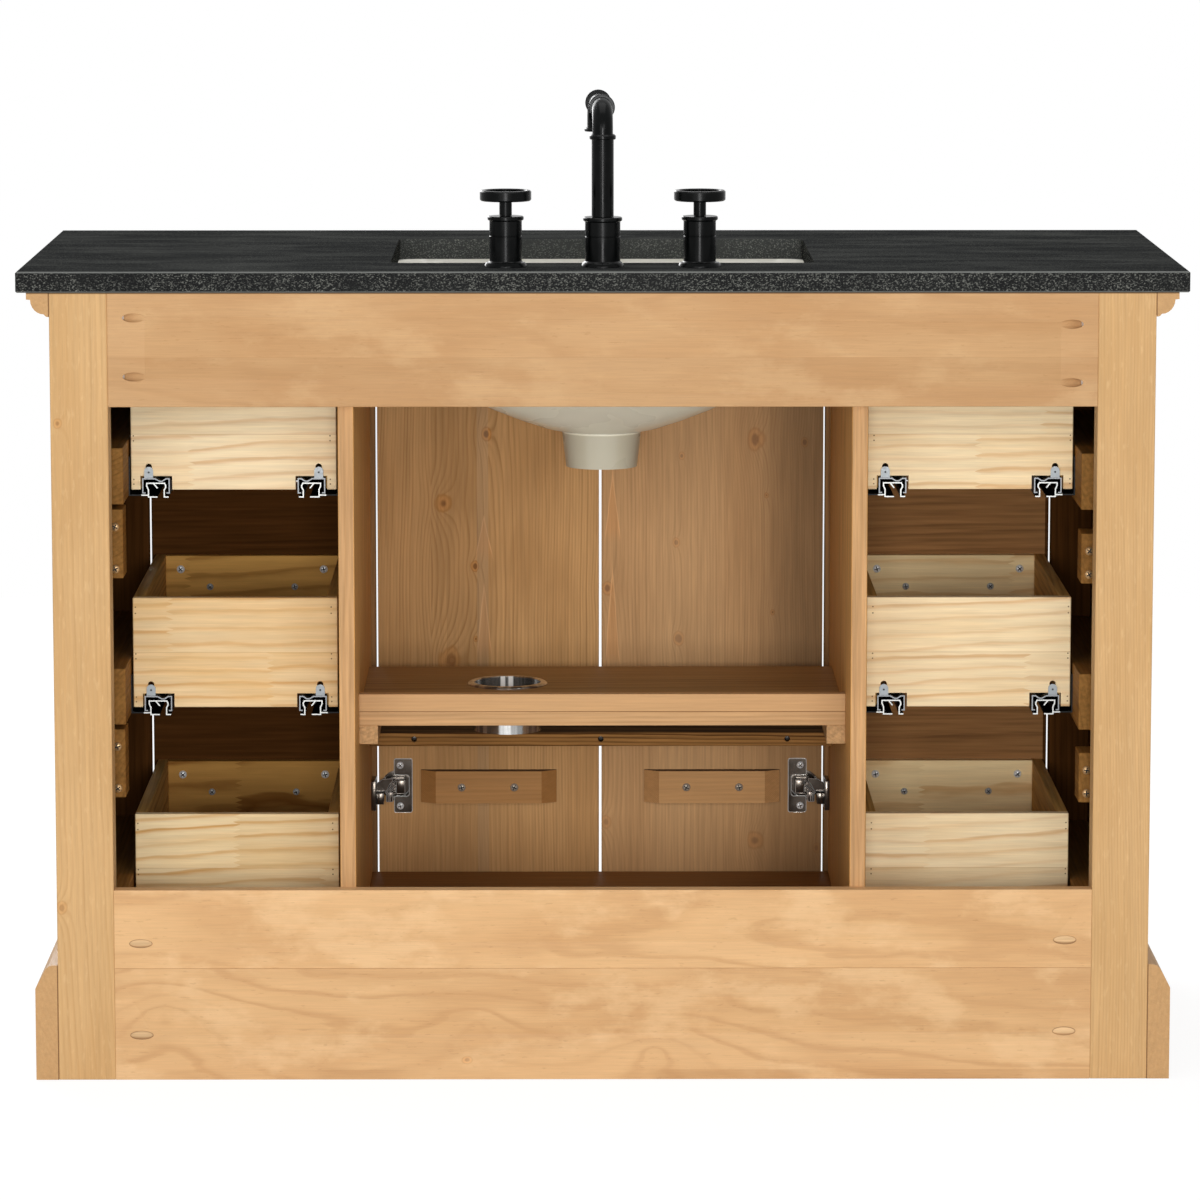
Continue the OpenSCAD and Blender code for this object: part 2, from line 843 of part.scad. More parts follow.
module faucet_nuts() {
    color("#b7a06a")
        for (x = faucet_x)
            translate([x, faucet_y, cabinet_h])
                difference() {
                    union() {
                        translate([0, 0, -washer_h]) cylinder(h = washer_h, r = washer_r, $fn = 48);
                        translate([0, 0, -washer_h - nut_h]) cylinder(h = nut_h, r = nut_r, $fn = 6);
                    }
                    translate([0, 0, -washer_h - nut_h - 1])
                        cylinder(h = washer_h + nut_h + 2, r = shank_r + 0.1, $fn = 48);
                }
}

module collar(r, h) {
    rotate_extrude($fn = 48)
        polygon([[0, 0], [r - 0.8, 0], [r, 0.8], [r, h - 1.6], [r - 1.6, h], [0, h]]);
}

// A quarter bend that starts upwards at the origin and ends towards -Y
module bend() {
    translate([0, -bend_r, 0]) rotate([90, 0, 90])
        rotate_extrude(angle = 90, $fn = 48) translate([bend_r, 0]) circle(fitting_r, $fn = 48);
}

module spout() {
    start_z = deck_z + spout_base_h + 0.4;
    arm_z = deck_z + arm_h;
    bend_z = arm_z - bend_r;
    collar_h = 5.4;
    leg = 10;
    tip_z = deck_z + arm_h - 32;
    color("#17181a")
        translate([0, faucet_y, 0]) rotate(spout_rest) {
            translate([0, 0, start_z - 25]) cylinder(h = 26, r = 9, $fn = 48);
            translate([0, 0, start_z]) cylinder(h = bend_z - leg - start_z, r = pipe_r, $fn = 48);
            translate([0, 0, bend_z - leg]) collar(collar_r, collar_h);
            translate([0, 0, bend_z - leg]) cylinder(h = leg, r = fitting_r, $fn = 48);
            translate([0, 0, bend_z]) bend();
            translate([0, -bend_r, arm_z]) rotate([90, 0, 0]) {
                collar(collar_r, 4.5);
                cylinder(h = spout_reach - 2 * bend_r, r = fitting_r - 0.8, $fn = 48);
                translate([0, 0, spout_reach - 2 * bend_r - 4.5]) collar(collar_r, 4.5);
            }
            translate([0, -spout_reach, bend_z]) rotate(180) bend();
            translate([0, -spout_reach, tip_z])
                difference() {
                    union() {
                        cylinder(h = bend_z - tip_z, r = fitting_r, $fn = 48);
                        collar(collar_r, 4);
                    }
                    translate([0, 0, -1]) cylinder(h = 7, r = fitting_r - 1.5, $fn = 48);
                }
        }
}

module valve_wheel() {
    rim_w = 5.5;
    z = deck_z + wheel_z;
    start_z = deck_z + 53.4;
    color("#17181a") {
        translate([0, 0, z])
            rotate_extrude($fn = 64)
                polygon([[wheel_r - rim_w, 1], [wheel_r - rim_w + 1, 0], [wheel_r - 1.4, 0],
                    [wheel_r, 1.4], [wheel_r, wheel_h - 1.4], [wheel_r - 1.4, wheel_h],
                    [wheel_r - rim_w + 1, wheel_h], [wheel_r - rim_w, wheel_h - 1]]);
        for (t = [45:90:315])
            rotate(t) translate([0, 0, z + wheel_h / 2]) rotate([0, 90, 0])
                cylinder(h = wheel_r - rim_w + 1, r = 3, $fn = 24);
        translate([0, 0, z]) cylinder(h = wheel_h - 2, r = 8, $fn = 32);
        translate([0, 0, start_z]) cylinder(h = z - start_z + 1, r = stem_r, $fn = 32);
        translate([0, 0, start_z - 14]) cylinder(h = 15, r = 5, $fn = 32);
    }
}

module hot_wheel() {
    translate([-valve_spread, faucet_y, 0]) valve_wheel();
}

module cold_wheel() {
    translate([valve_spread, faucet_y, 0]) valve_wheel();
}

countertop();
sink_basin();
rear_posts();
rear_top_rail();
rear_bottom_rail();
rail_plugs();
pocket_screws();
side_panels();
partitions();
cabinet_floor();
face_frame_stiles();
face_frame_rails();
base_moulding();
cornice_moulding();
centre_shelf();
shelf_lip();
shelf_cleats();
shelf_apron();
dryer_cup();
runner_spacers();
fixed_runners();
hinge_arms();
spout_base();
valve_bodies();
faucet_nuts();
spout();
hot_wheel();
cold_wheel();
for (turn = [0, 1]) {
    door = str("door_", sides[turn]);
    mirror([1 - turn, 0, 0]) {
        door_panel();
        door_battens();
        door_hinge_cups();
        door_pull();
    }
    for (level = [0:2]) {
        drawer = str("drawer_", sides[turn], "_", levels[level]);
        mirror([1 - turn, 0, 0]) {
            drawer_front(level);
            drawer_box(level);
            drawer_runners(level);
            drawer_pull(level);
        }
    }
}
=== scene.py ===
import json
import math

import bmesh
import bpy
from mathutils import Matrix, Vector

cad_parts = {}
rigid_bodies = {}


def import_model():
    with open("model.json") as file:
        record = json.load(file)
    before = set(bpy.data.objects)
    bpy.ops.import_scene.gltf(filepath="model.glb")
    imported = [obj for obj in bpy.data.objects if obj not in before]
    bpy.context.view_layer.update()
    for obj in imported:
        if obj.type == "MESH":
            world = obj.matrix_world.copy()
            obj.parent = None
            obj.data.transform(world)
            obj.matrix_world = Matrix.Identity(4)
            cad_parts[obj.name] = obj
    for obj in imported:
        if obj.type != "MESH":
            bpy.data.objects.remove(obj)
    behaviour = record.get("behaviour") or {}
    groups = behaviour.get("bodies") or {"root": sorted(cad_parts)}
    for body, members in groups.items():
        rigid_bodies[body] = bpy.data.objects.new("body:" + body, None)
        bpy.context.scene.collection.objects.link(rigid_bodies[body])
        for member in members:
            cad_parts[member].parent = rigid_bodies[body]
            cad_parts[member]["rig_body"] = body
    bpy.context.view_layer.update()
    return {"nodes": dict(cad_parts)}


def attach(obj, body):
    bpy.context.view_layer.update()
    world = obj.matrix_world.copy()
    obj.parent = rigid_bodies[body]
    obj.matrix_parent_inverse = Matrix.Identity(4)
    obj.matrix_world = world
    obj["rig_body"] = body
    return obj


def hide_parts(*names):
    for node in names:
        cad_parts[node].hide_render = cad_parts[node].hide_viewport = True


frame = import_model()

nodes = frame["nodes"]


# Rear frame: two pine posts and two wide rails, flush at the back.
# The rails are glued up from boards. Pocket screws, driven on a slant from
# behind, hold them to the posts, and plugs fill the lower pockets.

def colour(red, green, blue):
    """The shade that a screen shows as these three numbers from 0 to 255."""
    shade = []
    for part in (red, green, blue):
        part /= 255
        shade.append(part / 12.92 if part <= 0.04 else ((part + 0.055) / 1.055) ** 2.4)
    return (*shade, 1)


class Finish:
    """A material that is put together from nodes."""

    def __init__(self, name):
        self.material = bpy.data.materials.new(name)
        self.material.use_nodes = True
        self.tree = self.material.node_tree
        self.shader = self.tree.nodes["Principled BSDF"]
        place = self.node("TexCoord")
        self.spot = place.outputs["Object"]
        self.x, self.y, self.z = self.node("SeparateXYZ", {0: self.spot}).outputs
        self.facing = self.node("SeparateXYZ", {0: place.outputs["Normal"]}).outputs

    def node(self, kind, sockets=None, **settings):
        made = self.tree.nodes.new("ShaderNode" + kind)
        for key, value in settings.items():
            setattr(made, key, value)
        for key, value in (sockets or {}).items():
            if isinstance(value, bpy.types.NodeSocket):
                self.tree.links.new(value, made.inputs[key])
            else:
                made.inputs[key].default_value = value
        return made

    def reckon(self, operation, a, b=0.0, clamp=False):
        """One sum, on values that change over the surface."""
        made = self.node("Math", {0: a, 1: b}, operation=operation, use_clamp=clamp)
        return made.outputs[0]

    def chain(self, operation, values):
        whole = values[0]
        for value in values[1:]:
            whole = self.reckon(operation, whole, value)
        return whole

    def plus(self, *values):
        return self.chain("ADD", values)

    def product(self, *values):
        return self.chain("MULTIPLY", values)

    def most(self, *values):
        return self.chain("MAXIMUM", values)

    def minus(self, a, b):
        return self.reckon("SUBTRACT", a, b)

    def over(self, a, b):
        return self.reckon("DIVIDE", a, b)

    def rest(self, value):
        """What is left of 1."""
        return self.minus(1.0, value)

    def unsigned(self, value):
        return self.reckon("ABSOLUTE", value)

    def above(self, a, b):
        """1 where a is more than b, and else 0."""
        return self.reckon("GREATER_THAN", a, b)

    def below(self, a, b):
        """1 where a is less than b, and else 0."""
        return self.reckon("LESS_THAN", a, b)

    def reach(self, a, b):
        """How long a step is that goes a one way and b square to it."""
        squares = [self.reckon("POWER", self.unsigned(step), 2.0) for step in (a, b)]
        return self.reckon("SQRT", self.plus(*squares))

    def nearest(self, value, *marks):
        """How far the value is from the nearest mark."""
        gaps = [self.unsigned(self.minus(value, mark)) for mark in marks]
        return self.chain("MINIMUM", gaps)

    def vector(self, x, y, z):
        return self.node("CombineXYZ", {0: x, 1: y, 2: z}).outputs[0]

    def stretched(self, axes, factors):
        """A place, with each axis multiplied by its factor."""
        return self.vector(*[self.product(a, f) for a, f in zip(axes, factors)])

    def noise(self, at, scale=1.0, detail=2.0, roughness=0.5):
        made = self.node("TexNoise", {"Vector": at, "Scale": scale, "Detail": detail,
                                      "Roughness": roughness})
        return made.outputs[0]

    def patches(self, scales, **settings):
        """Soft random patches, with a scale for each axis."""
        return self.noise(self.stretched((self.x, self.y, self.z), scales), **settings)

    def random(self, x, y=0.0):
        made = self.node("TexWhiteNoise", {"Vector": self.vector(x, y, 0.37)},
                         noise_dimensions="3D")
        return made.outputs[0]

    def fade(self, value, low, high):
        """0 at low and 1 at high, with a soft change between them."""
        made = self.node("MapRange", {0: value, 1: low, 2: high}, interpolation_type="SMOOTHSTEP")
        return made.outputs[0]

    def fall(self, value, low, high):
        """1 at low and 0 at high, with a soft change between them."""
        return self.rest(self.fade(value, low, high))

    def ramp(self, value, *stops):
        made = self.node("ValToRGB", {0: value})
        steps = made.color_ramp.elements
        while len(steps) < len(stops):
            steps.new(0.5)
        for step, (position, grey) in zip(steps, stops):
            step.position = position
            step.color = (grey, grey, grey, 1)
        return made.outputs[0]

    def mix(self, amount, a, b, blend="MIX"):
        made = self.node("Mix", {0: amount, 6: a, 7: b}, data_type="RGBA", blend_type=blend)
        return made.outputs[2]

    def lay(self, amount, shade):
        """Lays a shade over what is there."""
        if not isinstance(shade, bpy.types.NodeSocket):
            shade = colour(*shade)
        self.shade = self.mix(amount, self.shade, shade)

    def set(self, **sockets):
        for key, value in sockets.items():
            socket = self.shader.inputs[key.replace("_", " ")]
            if isinstance(value, bpy.types.NodeSocket):
                self.tree.links.new(value, socket)
            else:
                socket.default_value = value

    def bump(self, height, distance, strength=0.5):
        made = self.node("Bump", {"Height": height, "Distance": distance, "Strength": strength})
        self.tree.links.new(made.outputs[0], self.shader.inputs["Normal"])

    def done(self):
        self.set(Base_Color=self.shade)
        return self.material


def knot_marks(f, along, across, radius, ripple, knots):
    """Bends the rings round the knots, and finds where the knots, their rims and cores are."""
    marks = []
    for knot_along, knot_across, size, dark in knots:
        reach = f.reach(f.product(f.minus(along, knot_along), 0.75), f.minus(across, knot_across))
        near = f.reckon("EXPONENT", f.product(f.over(reach, size), -0.8))
        radius = f.plus(radius, f.product(near, size * 1.3))
        reach = f.plus(f.over(reach, size), f.minus(ripple, 0.45))
        knot = f.product(f.fall(reach, 0.75, 0.95), dark)
        rim = f.product(f.fade(reach, 0.62, 0.8), knot)
        marks.append((knot, rim, f.product(f.fall(reach, 0.3, 0.55), dark)))
    return radius, [f.most(*masks) for masks in zip(*marks)]


def wood(name, axes, early, late, ring=0.005, pith=(0.0, -0.05), slope=0.01, wobble=0.012,
         contrast=0.6, seams=(), board=None, spread=0.0, knots=(), blotch=None, waves=0.8,
         width=(0.2, 0.85), streaks=(0.7, 1.04), shine=0.1):
    """Sawn wood, whose rings are cut by the board's faces.

    axes names the grain's direction, the board's width and its thickness. early and late
    are the ring's pale and dark shades, ring its breadth, pith the log's middle, and width
    the stretch of a ring over which it darkens. A knot has its place along and across, its
    radius and its darkness.
    """
    f = Finish(name)
    along, across, through = ((f.x, f.y, f.z)["XYZ".index(a)] for a in axes)
    number = board(f) if board else f.plus(0.0, *[f.above(across, seam) for seam in seams])
    f.shift = f.random(number, 2.0)
    run = f.plus(along, f.product(f.shift, 3.7))
    f.log = (run, across, through)
    swing = f.noise(f.stretched(f.log, (1.6, 6, 6)), detail=1.5)
    ripple = f.noise(f.stretched(f.log, (14, 70, 70)))
    broad = f.noise(f.stretched(f.log, (2.4, 11, 11)))
    side = f.plus(f.minus(across, pith[0]), f.product(f.minus(swing, 0.5), wobble),
                  f.product(f.minus(f.shift, 0.5), spread))
    radius = f.plus(f.reach(side, f.minus(through, pith[1])), f.product(run, slope),
                    f.product(ripple, ring * 0.6))
    radius, knotty = knot_marks(f, along, across, radius, ripple, knots)
    turns = f.plus(f.over(radius, ring), f.product(broad, waves))
    low, high = width
    lines = f.ramp(f.reckon("FRACT", turns), (0.0, 0.25), (low, 0.0), ((low + high) / 2, 0.25),
                   (high, 1.0), (0.94, 0.8), (1.0, 0.25))
    strength = f.plus(0.3, f.product(f.random(f.reckon("FLOOR", turns)), 0.7))
    f.lines = f.reckon("MULTIPLY", lines, f.product(strength, contrast), clamp=True)
    f.shade = f.mix(f.lines, colour(*early), colour(*late))
    if blotch:
        cloud = f.noise(f.stretched(f.log, (5, 17, 17)), detail=3)
        f.lay(f.product(f.fade(cloud, 0.38, 0.68), blotch[1]), blotch[0])
    fibre = f.noise(f.stretched((along, across, through), (30, 900, 900)))
    streak = f.noise(f.stretched((along, across, through), (9, 240, 240)))
    f.grain = f.mix(1.0, f.ramp(fibre, (0.25, 0.94), (0.75, 1.04)),
                    f.ramp(streak, (0.3, streaks[0]), (0.7, streaks[1])), "MULTIPLY")
    if knotty:
        knot, rim, core = knotty
        f.lay(f.product(knot, 0.8), (early[0], early[1] * 0.88, early[2] * 0.70))
        f.lay(f.product(rim, 0.4), [part * 0.66 for part in late])
        f.lay(f.product(core, 0.9), (late[0] * 0.62, late[1] * 0.48, late[2] * 0.38))
    f.set(Roughness=f.ramp(fibre, (0.3, 0.45), (0.7, 0.58)), Specular_IOR_Level=shine)
    f.bump(f.plus(f.product(f.lines, 0.3), f.product(fibre, 0.7)), 0.0002)
    return f


def tint(f, mask, early, late):
    """Other shades of the same grain, where the mask says so."""
    f.lay(mask, f.mix(f.lines, colour(*early), colour(*late)))


def sawn(f):
    """The finished wood, with its fibres and a slightly different tone on each board."""
    f.shade = f.mix(1.0, f.shade, f.mix(1.0, f.grain, f.ramp(f.shift, (0.0, 0.95), (1.0, 1.03)),
                                        "MULTIPLY"), "MULTIPLY")
    return f.done()


def dress(node, material):
    """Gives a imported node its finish."""
    mesh = nodes[node].data
    mesh.materials.clear()
    mesh.materials.append(material)


def grown(name, bm, material, body, sharp=32, replaces=()):
    """Turns a bmesh into a piece that rides on a body."""
    for face in bm.faces:
        face.smooth = True
    for edge in bm.edges:
        edge.smooth = edge.calc_face_angle(0) < math.radians(sharp)
    mesh = bpy.data.meshes.new(name)
    bm.to_mesh(mesh)
    bm.free()
    for item in material if isinstance(material, (list, tuple)) else [material]:
        mesh.materials.append(item)
    thing = bpy.data.objects.new(name, mesh)
    bpy.context.scene.collection.objects.link(thing)
    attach(thing, body)
    if replaces:
        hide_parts(*replaces)
    return thing


def merged(node):
    """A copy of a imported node's mesh, with its triangles joined up."""
    bm = bmesh.new()
    bm.from_mesh(nodes[node].data)
    bmesh.ops.remove_doubles(bm, verts=bm.verts, dist=0.00002)
    return bm


def shadow_line(f):
    """The painted shadow along the wood's top, where the stone top rests on it."""
    wood_top = 0.8334
    f.lay(f.product(f.fade(f.z, wood_top - 0.001, wood_top), 0.7), (70, 46, 26))


f = wood("post pine", "ZXY", (210, 170, 119), (190, 147, 96), ring=0.0030, pith=(0.9, -0.30),
         slope=0.012, wobble=0.03, contrast=0.62, blotch=((199, 157, 105), 0.7),
         knots=((0.698, 0.5675, 0.006, 0.5), (0.185, 0.5700, 0.007, 0.4)), streaks=(0.93, 1.02))
f.lay(f.product(f.fade(f.patches((260, 260, 60), detail=3), 0.55, 0.75), 0.35), (228, 191, 142))
shadow_line(f)
dress("rear_posts", sawn(f))

end_stain_top = 0.0105
for name, early, late, cloudy, pale, contrast, seam, seam_depth, swirls in (
        ("rear_top_rail", (197, 156, 111), (172, 128, 84), (185, 141, 96), (205, 166, 121),
         0.35, 0.7665, 0.10, ()),
        ("rear_bottom_rail", (220, 178, 129), (190, 144, 97), (204, 159, 111), (231, 193, 146),
         0.6, 0.1197, 0.16, ((0.464, 0.0705, 0.060, 0.0), (0.133, 0.0579, 0.030, 0.0),
                             (-0.0556, 0.0285, 0.036, 0.0), (0.1436, 0.0212, 0.006, 0.7)))):
    f = wood(name + " pine", "XZY", early, late, ring=0.018, pith=(seam + 0.03, 0.17),
             slope=0.03, wobble=0.09, contrast=contrast, seams=(seam,), blotch=(cloudy, 0.75),
             knots=swirls, waves=3.0, width=(0.55, 0.84), streaks=(0.965, 1.0))
    patch = f.noise(f.stretched(f.log, (9, 17, 17)), detail=5, roughness=0.62)
    f.lay(f.product(f.fade(patch, 0.50, 0.66), 0.6), pale)
    pores = f.patches((90, 420, 420), detail=3)
    f.lay(f.product(f.fade(pores, 0.63, 0.74), 0.25), (164, 120, 74))
    stain = f.product(f.fade(f.patches((6, 1, 1)), 0.42, 0.6), f.below(f.z, end_stain_top))
    f.lay(f.product(stain, 0.35), (176, 128, 82))
    f.lay(f.product(f.fall(f.nearest(f.z, seam), 0.0002, 0.0007), seam_depth), (150, 104, 62))
    shadow_line(f)
    grown(name + "_smooth", merged(name), sawn(f), "cabinet", replaces=[name])

plug_x, plug_heights, left_rise, plug_face = 0.487, (0.1465, 0.048), 0.0032, 0.2849
f = wood("plug pine", "XZY", (230, 192, 145), (204, 160, 112), ring=0.0021, pith=(0.10, 0.30),
         contrast=0.5)
level = f.minus(f.z, f.product(f.below(f.x, 0), left_rise))
edge = f.reach(f.product(f.minus(f.unsigned(f.x), plug_x), 78),
               f.product(f.nearest(level, *plug_heights), 205))
# Painted shade rings each plug where it meets the rail, and darkens the crowns' undersides.
f.lay(f.product(f.fade(edge, 0.82, 1.0), 0.85), (124, 82, 46))
f.lay(f.product(f.fall(f.facing[2], -0.35, -0.02), 0.6), (150, 104, 62))
plug_pine = sawn(f)
dress("rail_plugs", plug_pine)
crowns = bmesh.new()
for x in (-plug_x, plug_x):
    for z in plug_heights:
        middle = Matrix.Translation((x, plug_face, z + left_rise * (x < 0)))
        bmesh.ops.create_uvsphere(crowns, u_segments=32, v_segments=16, radius=1,
                                  matrix=middle @ Matrix.Diagonal((0.0124, 0.0014, 0.0044, 1)))
grown("plug_crowns", crowns, plug_pine, "cabinet", sharp=80)


def steel(name, shade, roughness, brushed=(60, 60, 60), depth=0.00002, metal=1.0):
    """Bare or plated metal with faint brushing and smudges."""
    f = Finish(name)
    fine = f.patches(brushed, detail=3)
    cloud = f.patches((25, 25, 25))
    f.shade = f.mix(1.0, colour(*shade), f.ramp(cloud, (0.3, 0.86), (0.7, 1.08)), "MULTIPLY")
    f.set(Metallic=metal, Roughness=f.ramp(fine, (0.3, roughness - 0.06), (0.7, roughness + 0.08)))
    f.bump(fine, depth)
    return f


fine_grain = (900, 900, 900)
zinc = steel("zinc plate", (240, 242, 242), 0.36, fine_grain, metal=0.3).done()
dress("pocket_screws", zinc)


# Carcass: side panels with V-grooves, two partitions and the floor board.
# All are pine, clear lacquered outside and stained brown where they face the
# inside of the cabinet.

def case_wood(name, axes, **grain):
    """Pine that is golden outside the cabinet and stained brown inside it, with painted shade and
    painted light on its inner faces.
    """
    panel_inside, bay_edge, stile_edge = 0.54, 0.27, 0.505
    f = wood(name, axes, (224, 182, 132), (196, 148, 94), blotch=((208, 160, 108), 0.5),
             slope=0.02, wobble=0.03, **grain)
    inward = f.below(f.product(f.x, f.facing[0]), -0.01)
    tint(f, inward, (120, 84, 44), (90, 58, 26))
    # Painted shade darkens the side panels' inner faces.
    tint(f, f.product(inward, f.above(f.unsigned(f.x), panel_inside)), (88, 58, 28), (64, 40, 18))
    behind = f.product(f.above(f.facing[1], 0.5), f.below(f.y, 0.0))
    # Painted shade darkens the rear faces of the frame and the drawer fronts.
    tint(f, behind, (88, 54, 25), (64, 37, 16))
    # Painted light pales those rear faces in the door bay and in the drawer bay on the -x side.
    tint(f, f.product(behind, f.below(f.unsigned(f.x), bay_edge)), (156, 116, 76), (126, 90, 56))
    tint(f, f.product(behind, f.below(f.x, -bay_edge), f.above(f.x, -stile_edge)),
         (164, 118, 74), (122, 84, 52))
    f.set(Specular_IOR_Level=f.product(f.rest(f.most(inward, behind)), 0.1))
    return f


case_pine = sawn(case_wood("case pine", "ZYX", ring=0.006, pith=(0.1, 0.2), contrast=0.5))
dress("side_panels", case_pine)
f = wood("partition pine", "ZYX", (210, 164, 114), (179, 131, 84), ring=0.005, pith=(0.1, 0.1),
         slope=0.02, wobble=0.03, contrast=0.5, blotch=((204, 156, 108), 0.5))
flank = f.above(f.unsigned(f.facing[0]), 0.5)
tint(f, flank, (228, 172, 104), (186, 132, 72))
dress("partitions", sawn(f))
f = wood("floor board", "XYZ", (162, 114, 62), (124, 80, 38), pith=(0.1, -0.1), wobble=0.03)
dress("cabinet_floor", sawn(f))


# Face frame: stiles and rails of pine, glued on the front of the carcass.
# The doors and drawers close flush inside its openings.

dress("face_frame_stiles", case_pine)
dress("face_frame_rails", sawn(case_wood("frame rail pine", "XZY", ring=0.006, pith=(0.1, 0.1),
                                         contrast=0.5)))


# Mouldings: a base board with a bevelled top runs round the foot, and a
# cornice of a fillet, a quarter round and a bead hides the joint under the top.
# Both are pine. The side runs reach to the rear, where their cut ends show.

moulding_pine = dict(early=(205, 165, 118), late=(180, 136, 90), contrast=0.5,
                     streaks=(0.92, 1.02))
side_joint, front_run_end = 0.5752, 0.574
f = wood("moulding pine", "YZX", pith=(0.2, 0.3), **moulding_pine)
end_grain = f.above(f.facing[1], 0.9)
hatch = f.patches((700, 700, 260))
f.lay(f.product(end_grain, 0.7), (196, 154, 105))
f.lay(f.product(end_grain, f.fade(hatch, 0.35, 0.65), 0.2), (186, 140, 94))
joint = f.fall(f.nearest(f.unsigned(f.x), side_joint), 0.0003, 0.0010)
f.lay(f.product(joint, end_grain, 0.8), (92, 62, 36))
shadow_line(f)
side_run = sawn(f)
f = wood("front moulding pine", "XZY", pith=(0.3, -0.5), **moulding_pine)
shadow_line(f)
front_run = sawn(f)
for name in ("base_moulding", "cornice_moulding"):
    runs = merged(name)
    for face in runs.faces:
        face.material_index = int(abs(face.calc_center_median().x) < front_run_end)
    grown(name + "_smooth", runs, [side_run, front_run], "cabinet",
          replaces=[name])


# Screws: plated steel with pressed round heads and a cross recess. They are
# driven from behind, and hold the shelf's rail, the short blocks, the battens,
# the drawer fronts, the pulls and the hinges' plates.

def lathe(profile, steps=48):
    """Spins a half profile of (radius, height) points about the Z axis."""
    bm = bmesh.new()
    points = [bm.verts.new((radius, 0, height)) for radius, height in profile]
    edges = [bm.edges.new(pair) for pair in zip(points, points[1:])]
    bmesh.ops.spin(bm, geom=points + edges, cent=(0, 0, 0), axis=(0, 0, 1), dvec=(0, 0, 0),
                   angle=math.tau, steps=steps, use_merge=True, use_duplicate=False)
    bmesh.ops.remove_doubles(bm, verts=bm.verts, dist=0.000002)
    bmesh.ops.recalc_face_normals(bm, faces=bm.faces)
    return bm


def moved(bm, *matrices):
    for matrix in matrices:
        bmesh.ops.transform(bm, matrix=matrix, verts=bm.verts)
    return bm


def joined(*parts):
    """Puts several bmeshes in one."""
    whole = bmesh.new()
    for part in parts:
        mesh = bpy.data.meshes.new("part")
        part.to_mesh(mesh)
        part.free()
        whole.from_mesh(mesh)
        bpy.data.meshes.remove(mesh)
    return whole


def block(low, high, ease=0.0003, segments=2):
    """A box between two corners, with softened edges."""
    bm = bmesh.new()
    bmesh.ops.create_cube(bm, size=1)
    size = Vector(high) - Vector(low)
    moved(bm, Matrix.Diagonal((*size, 1)), Matrix.Translation((Vector(low) + Vector(high)) / 2))
    if ease:
        bmesh.ops.bevel(bm, geom=bm.edges[:], offset=ease, segments=segments, profile=0.5,
                        affect="EDGES", material=-1)
    return bm


def cut(body, tool):
    """Cuts one bmesh out of another."""
    things = []
    for bm in (body, tool):
        mesh = bpy.data.meshes.new("blank")
        bm.to_mesh(mesh)
        bm.free()
        things.append(bpy.data.objects.new("blank", mesh))
        bpy.context.scene.collection.objects.link(things[-1])
    knife = things[0].modifiers.new("cut", "BOOLEAN")
    knife.operation = "DIFFERENCE"
    knife.solver = "EXACT"
    knife.object = things[1]
    shown = things[0].evaluated_get(bpy.context.evaluated_depsgraph_get())
    result = bmesh.new()
    result.from_mesh(shown.to_mesh())
    for thing in things:
        mesh = thing.data
        bpy.data.objects.remove(thing)
        bpy.data.meshes.remove(mesh)
    return result


# The head is drawn with a radius of 1 and its face towards +Z. Its cross is dark.
head = lathe([(0, -0.25), (1, -0.25), (1, 0.08), (0.93, 0.22), (0.72, 0.40), (0.42, 0.50),
              (0, 0.53)], 28)
slot_length, slot_width, slot_floor, dome_rim = 0.62, 0.15, 0.05, 0.42
for half_x, half_y in ((slot_length, slot_width), (slot_width, slot_length)):
    head = cut(head, block((-half_x, -half_y, slot_floor), (half_x, half_y, 1), 0))
for face in head.faces:
    middle = face.calc_center_median()
    wall = middle.z < dome_rim and face.normal.z < 0.9
    bottom = 0 < middle.z < slot_floor + 0.01
    inside = math.hypot(middle.x, middle.y) < slot_length + 0.02
    face.material_index = int(inside and (wall or bottom))
f = Finish("recess shadow")
f.shade = f.mix(f.noise(f.spot, 900), colour(30, 28, 26), colour(52, 48, 44))
f.set(Roughness=0.6, Metallic=0.4)
recess = f.done()

# Each screw stopped at its own turn when it was driven home.
TO_THE_REAR = Matrix.Rotation(math.radians(-90), 4, "X")
recess_turns = (14, 41, 63, 27, 80, 5, 52, 33, 71, 20, 48, 9)


def screws(name, places, radius, material, body):
    """Screw heads that face the rear, each at its place."""
    heads = [moved(head.copy(), Matrix.Rotation(math.radians(turn), 4, "Z"),
                   Matrix.Scale(radius, 4), TO_THE_REAR, Matrix.Translation(place))
             for turn, place in zip(recess_turns, places)]
    return grown(name, joined(*heads), [material, recess], body)


# Shelf: a brown board on two cleats, with a pale lip along its rear edge and
# a drilled rail hung under its front. A spun steel cup for a hair dryer drops
# into a hole in it and rests on its own flange.

lip_shades = ((208, 164, 116), (188, 143, 95))
shelf_top, lip_joint, rail_shadow = 0.3725, 0.3732, 0.2980
f = wood("shelf board", "XYZ", (178, 138, 88), (146, 108, 62), pith=(0.1, -0.1), contrast=0.7,
         wobble=0.03, streaks=(0.84, 1.06))
tint(f, f.above(f.facing[1], 0.5), *lip_shades)
dress("centre_shelf", sawn(f))
f = wood("lip pine", "XZY", *lip_shades, ring=0.0035, pith=(0.5, 0.16), contrast=0.3,
         wobble=0.02, blotch=((208, 162, 113), 0.5), streaks=(0.93, 1.02))
f.lay(f.product(f.below(f.z, lip_joint), 0.75), (112, 74, 42))
dress("shelf_lip", sawn(f))
dress("shelf_cleats", sawn(wood("cleat pine", "YXZ", (210, 166, 116), (172, 126, 78), ring=0.004,
                                pith=(0.1, -0.1), contrast=0.5)))
f = wood("apron board", "XZY", (186, 134, 76), (78, 44, 18), ring=0.0046, pith=(0.6, -0.15),
         slope=0.004, contrast=1.0, wobble=0.014, streaks=(0.62, 1.06), shine=0.02)
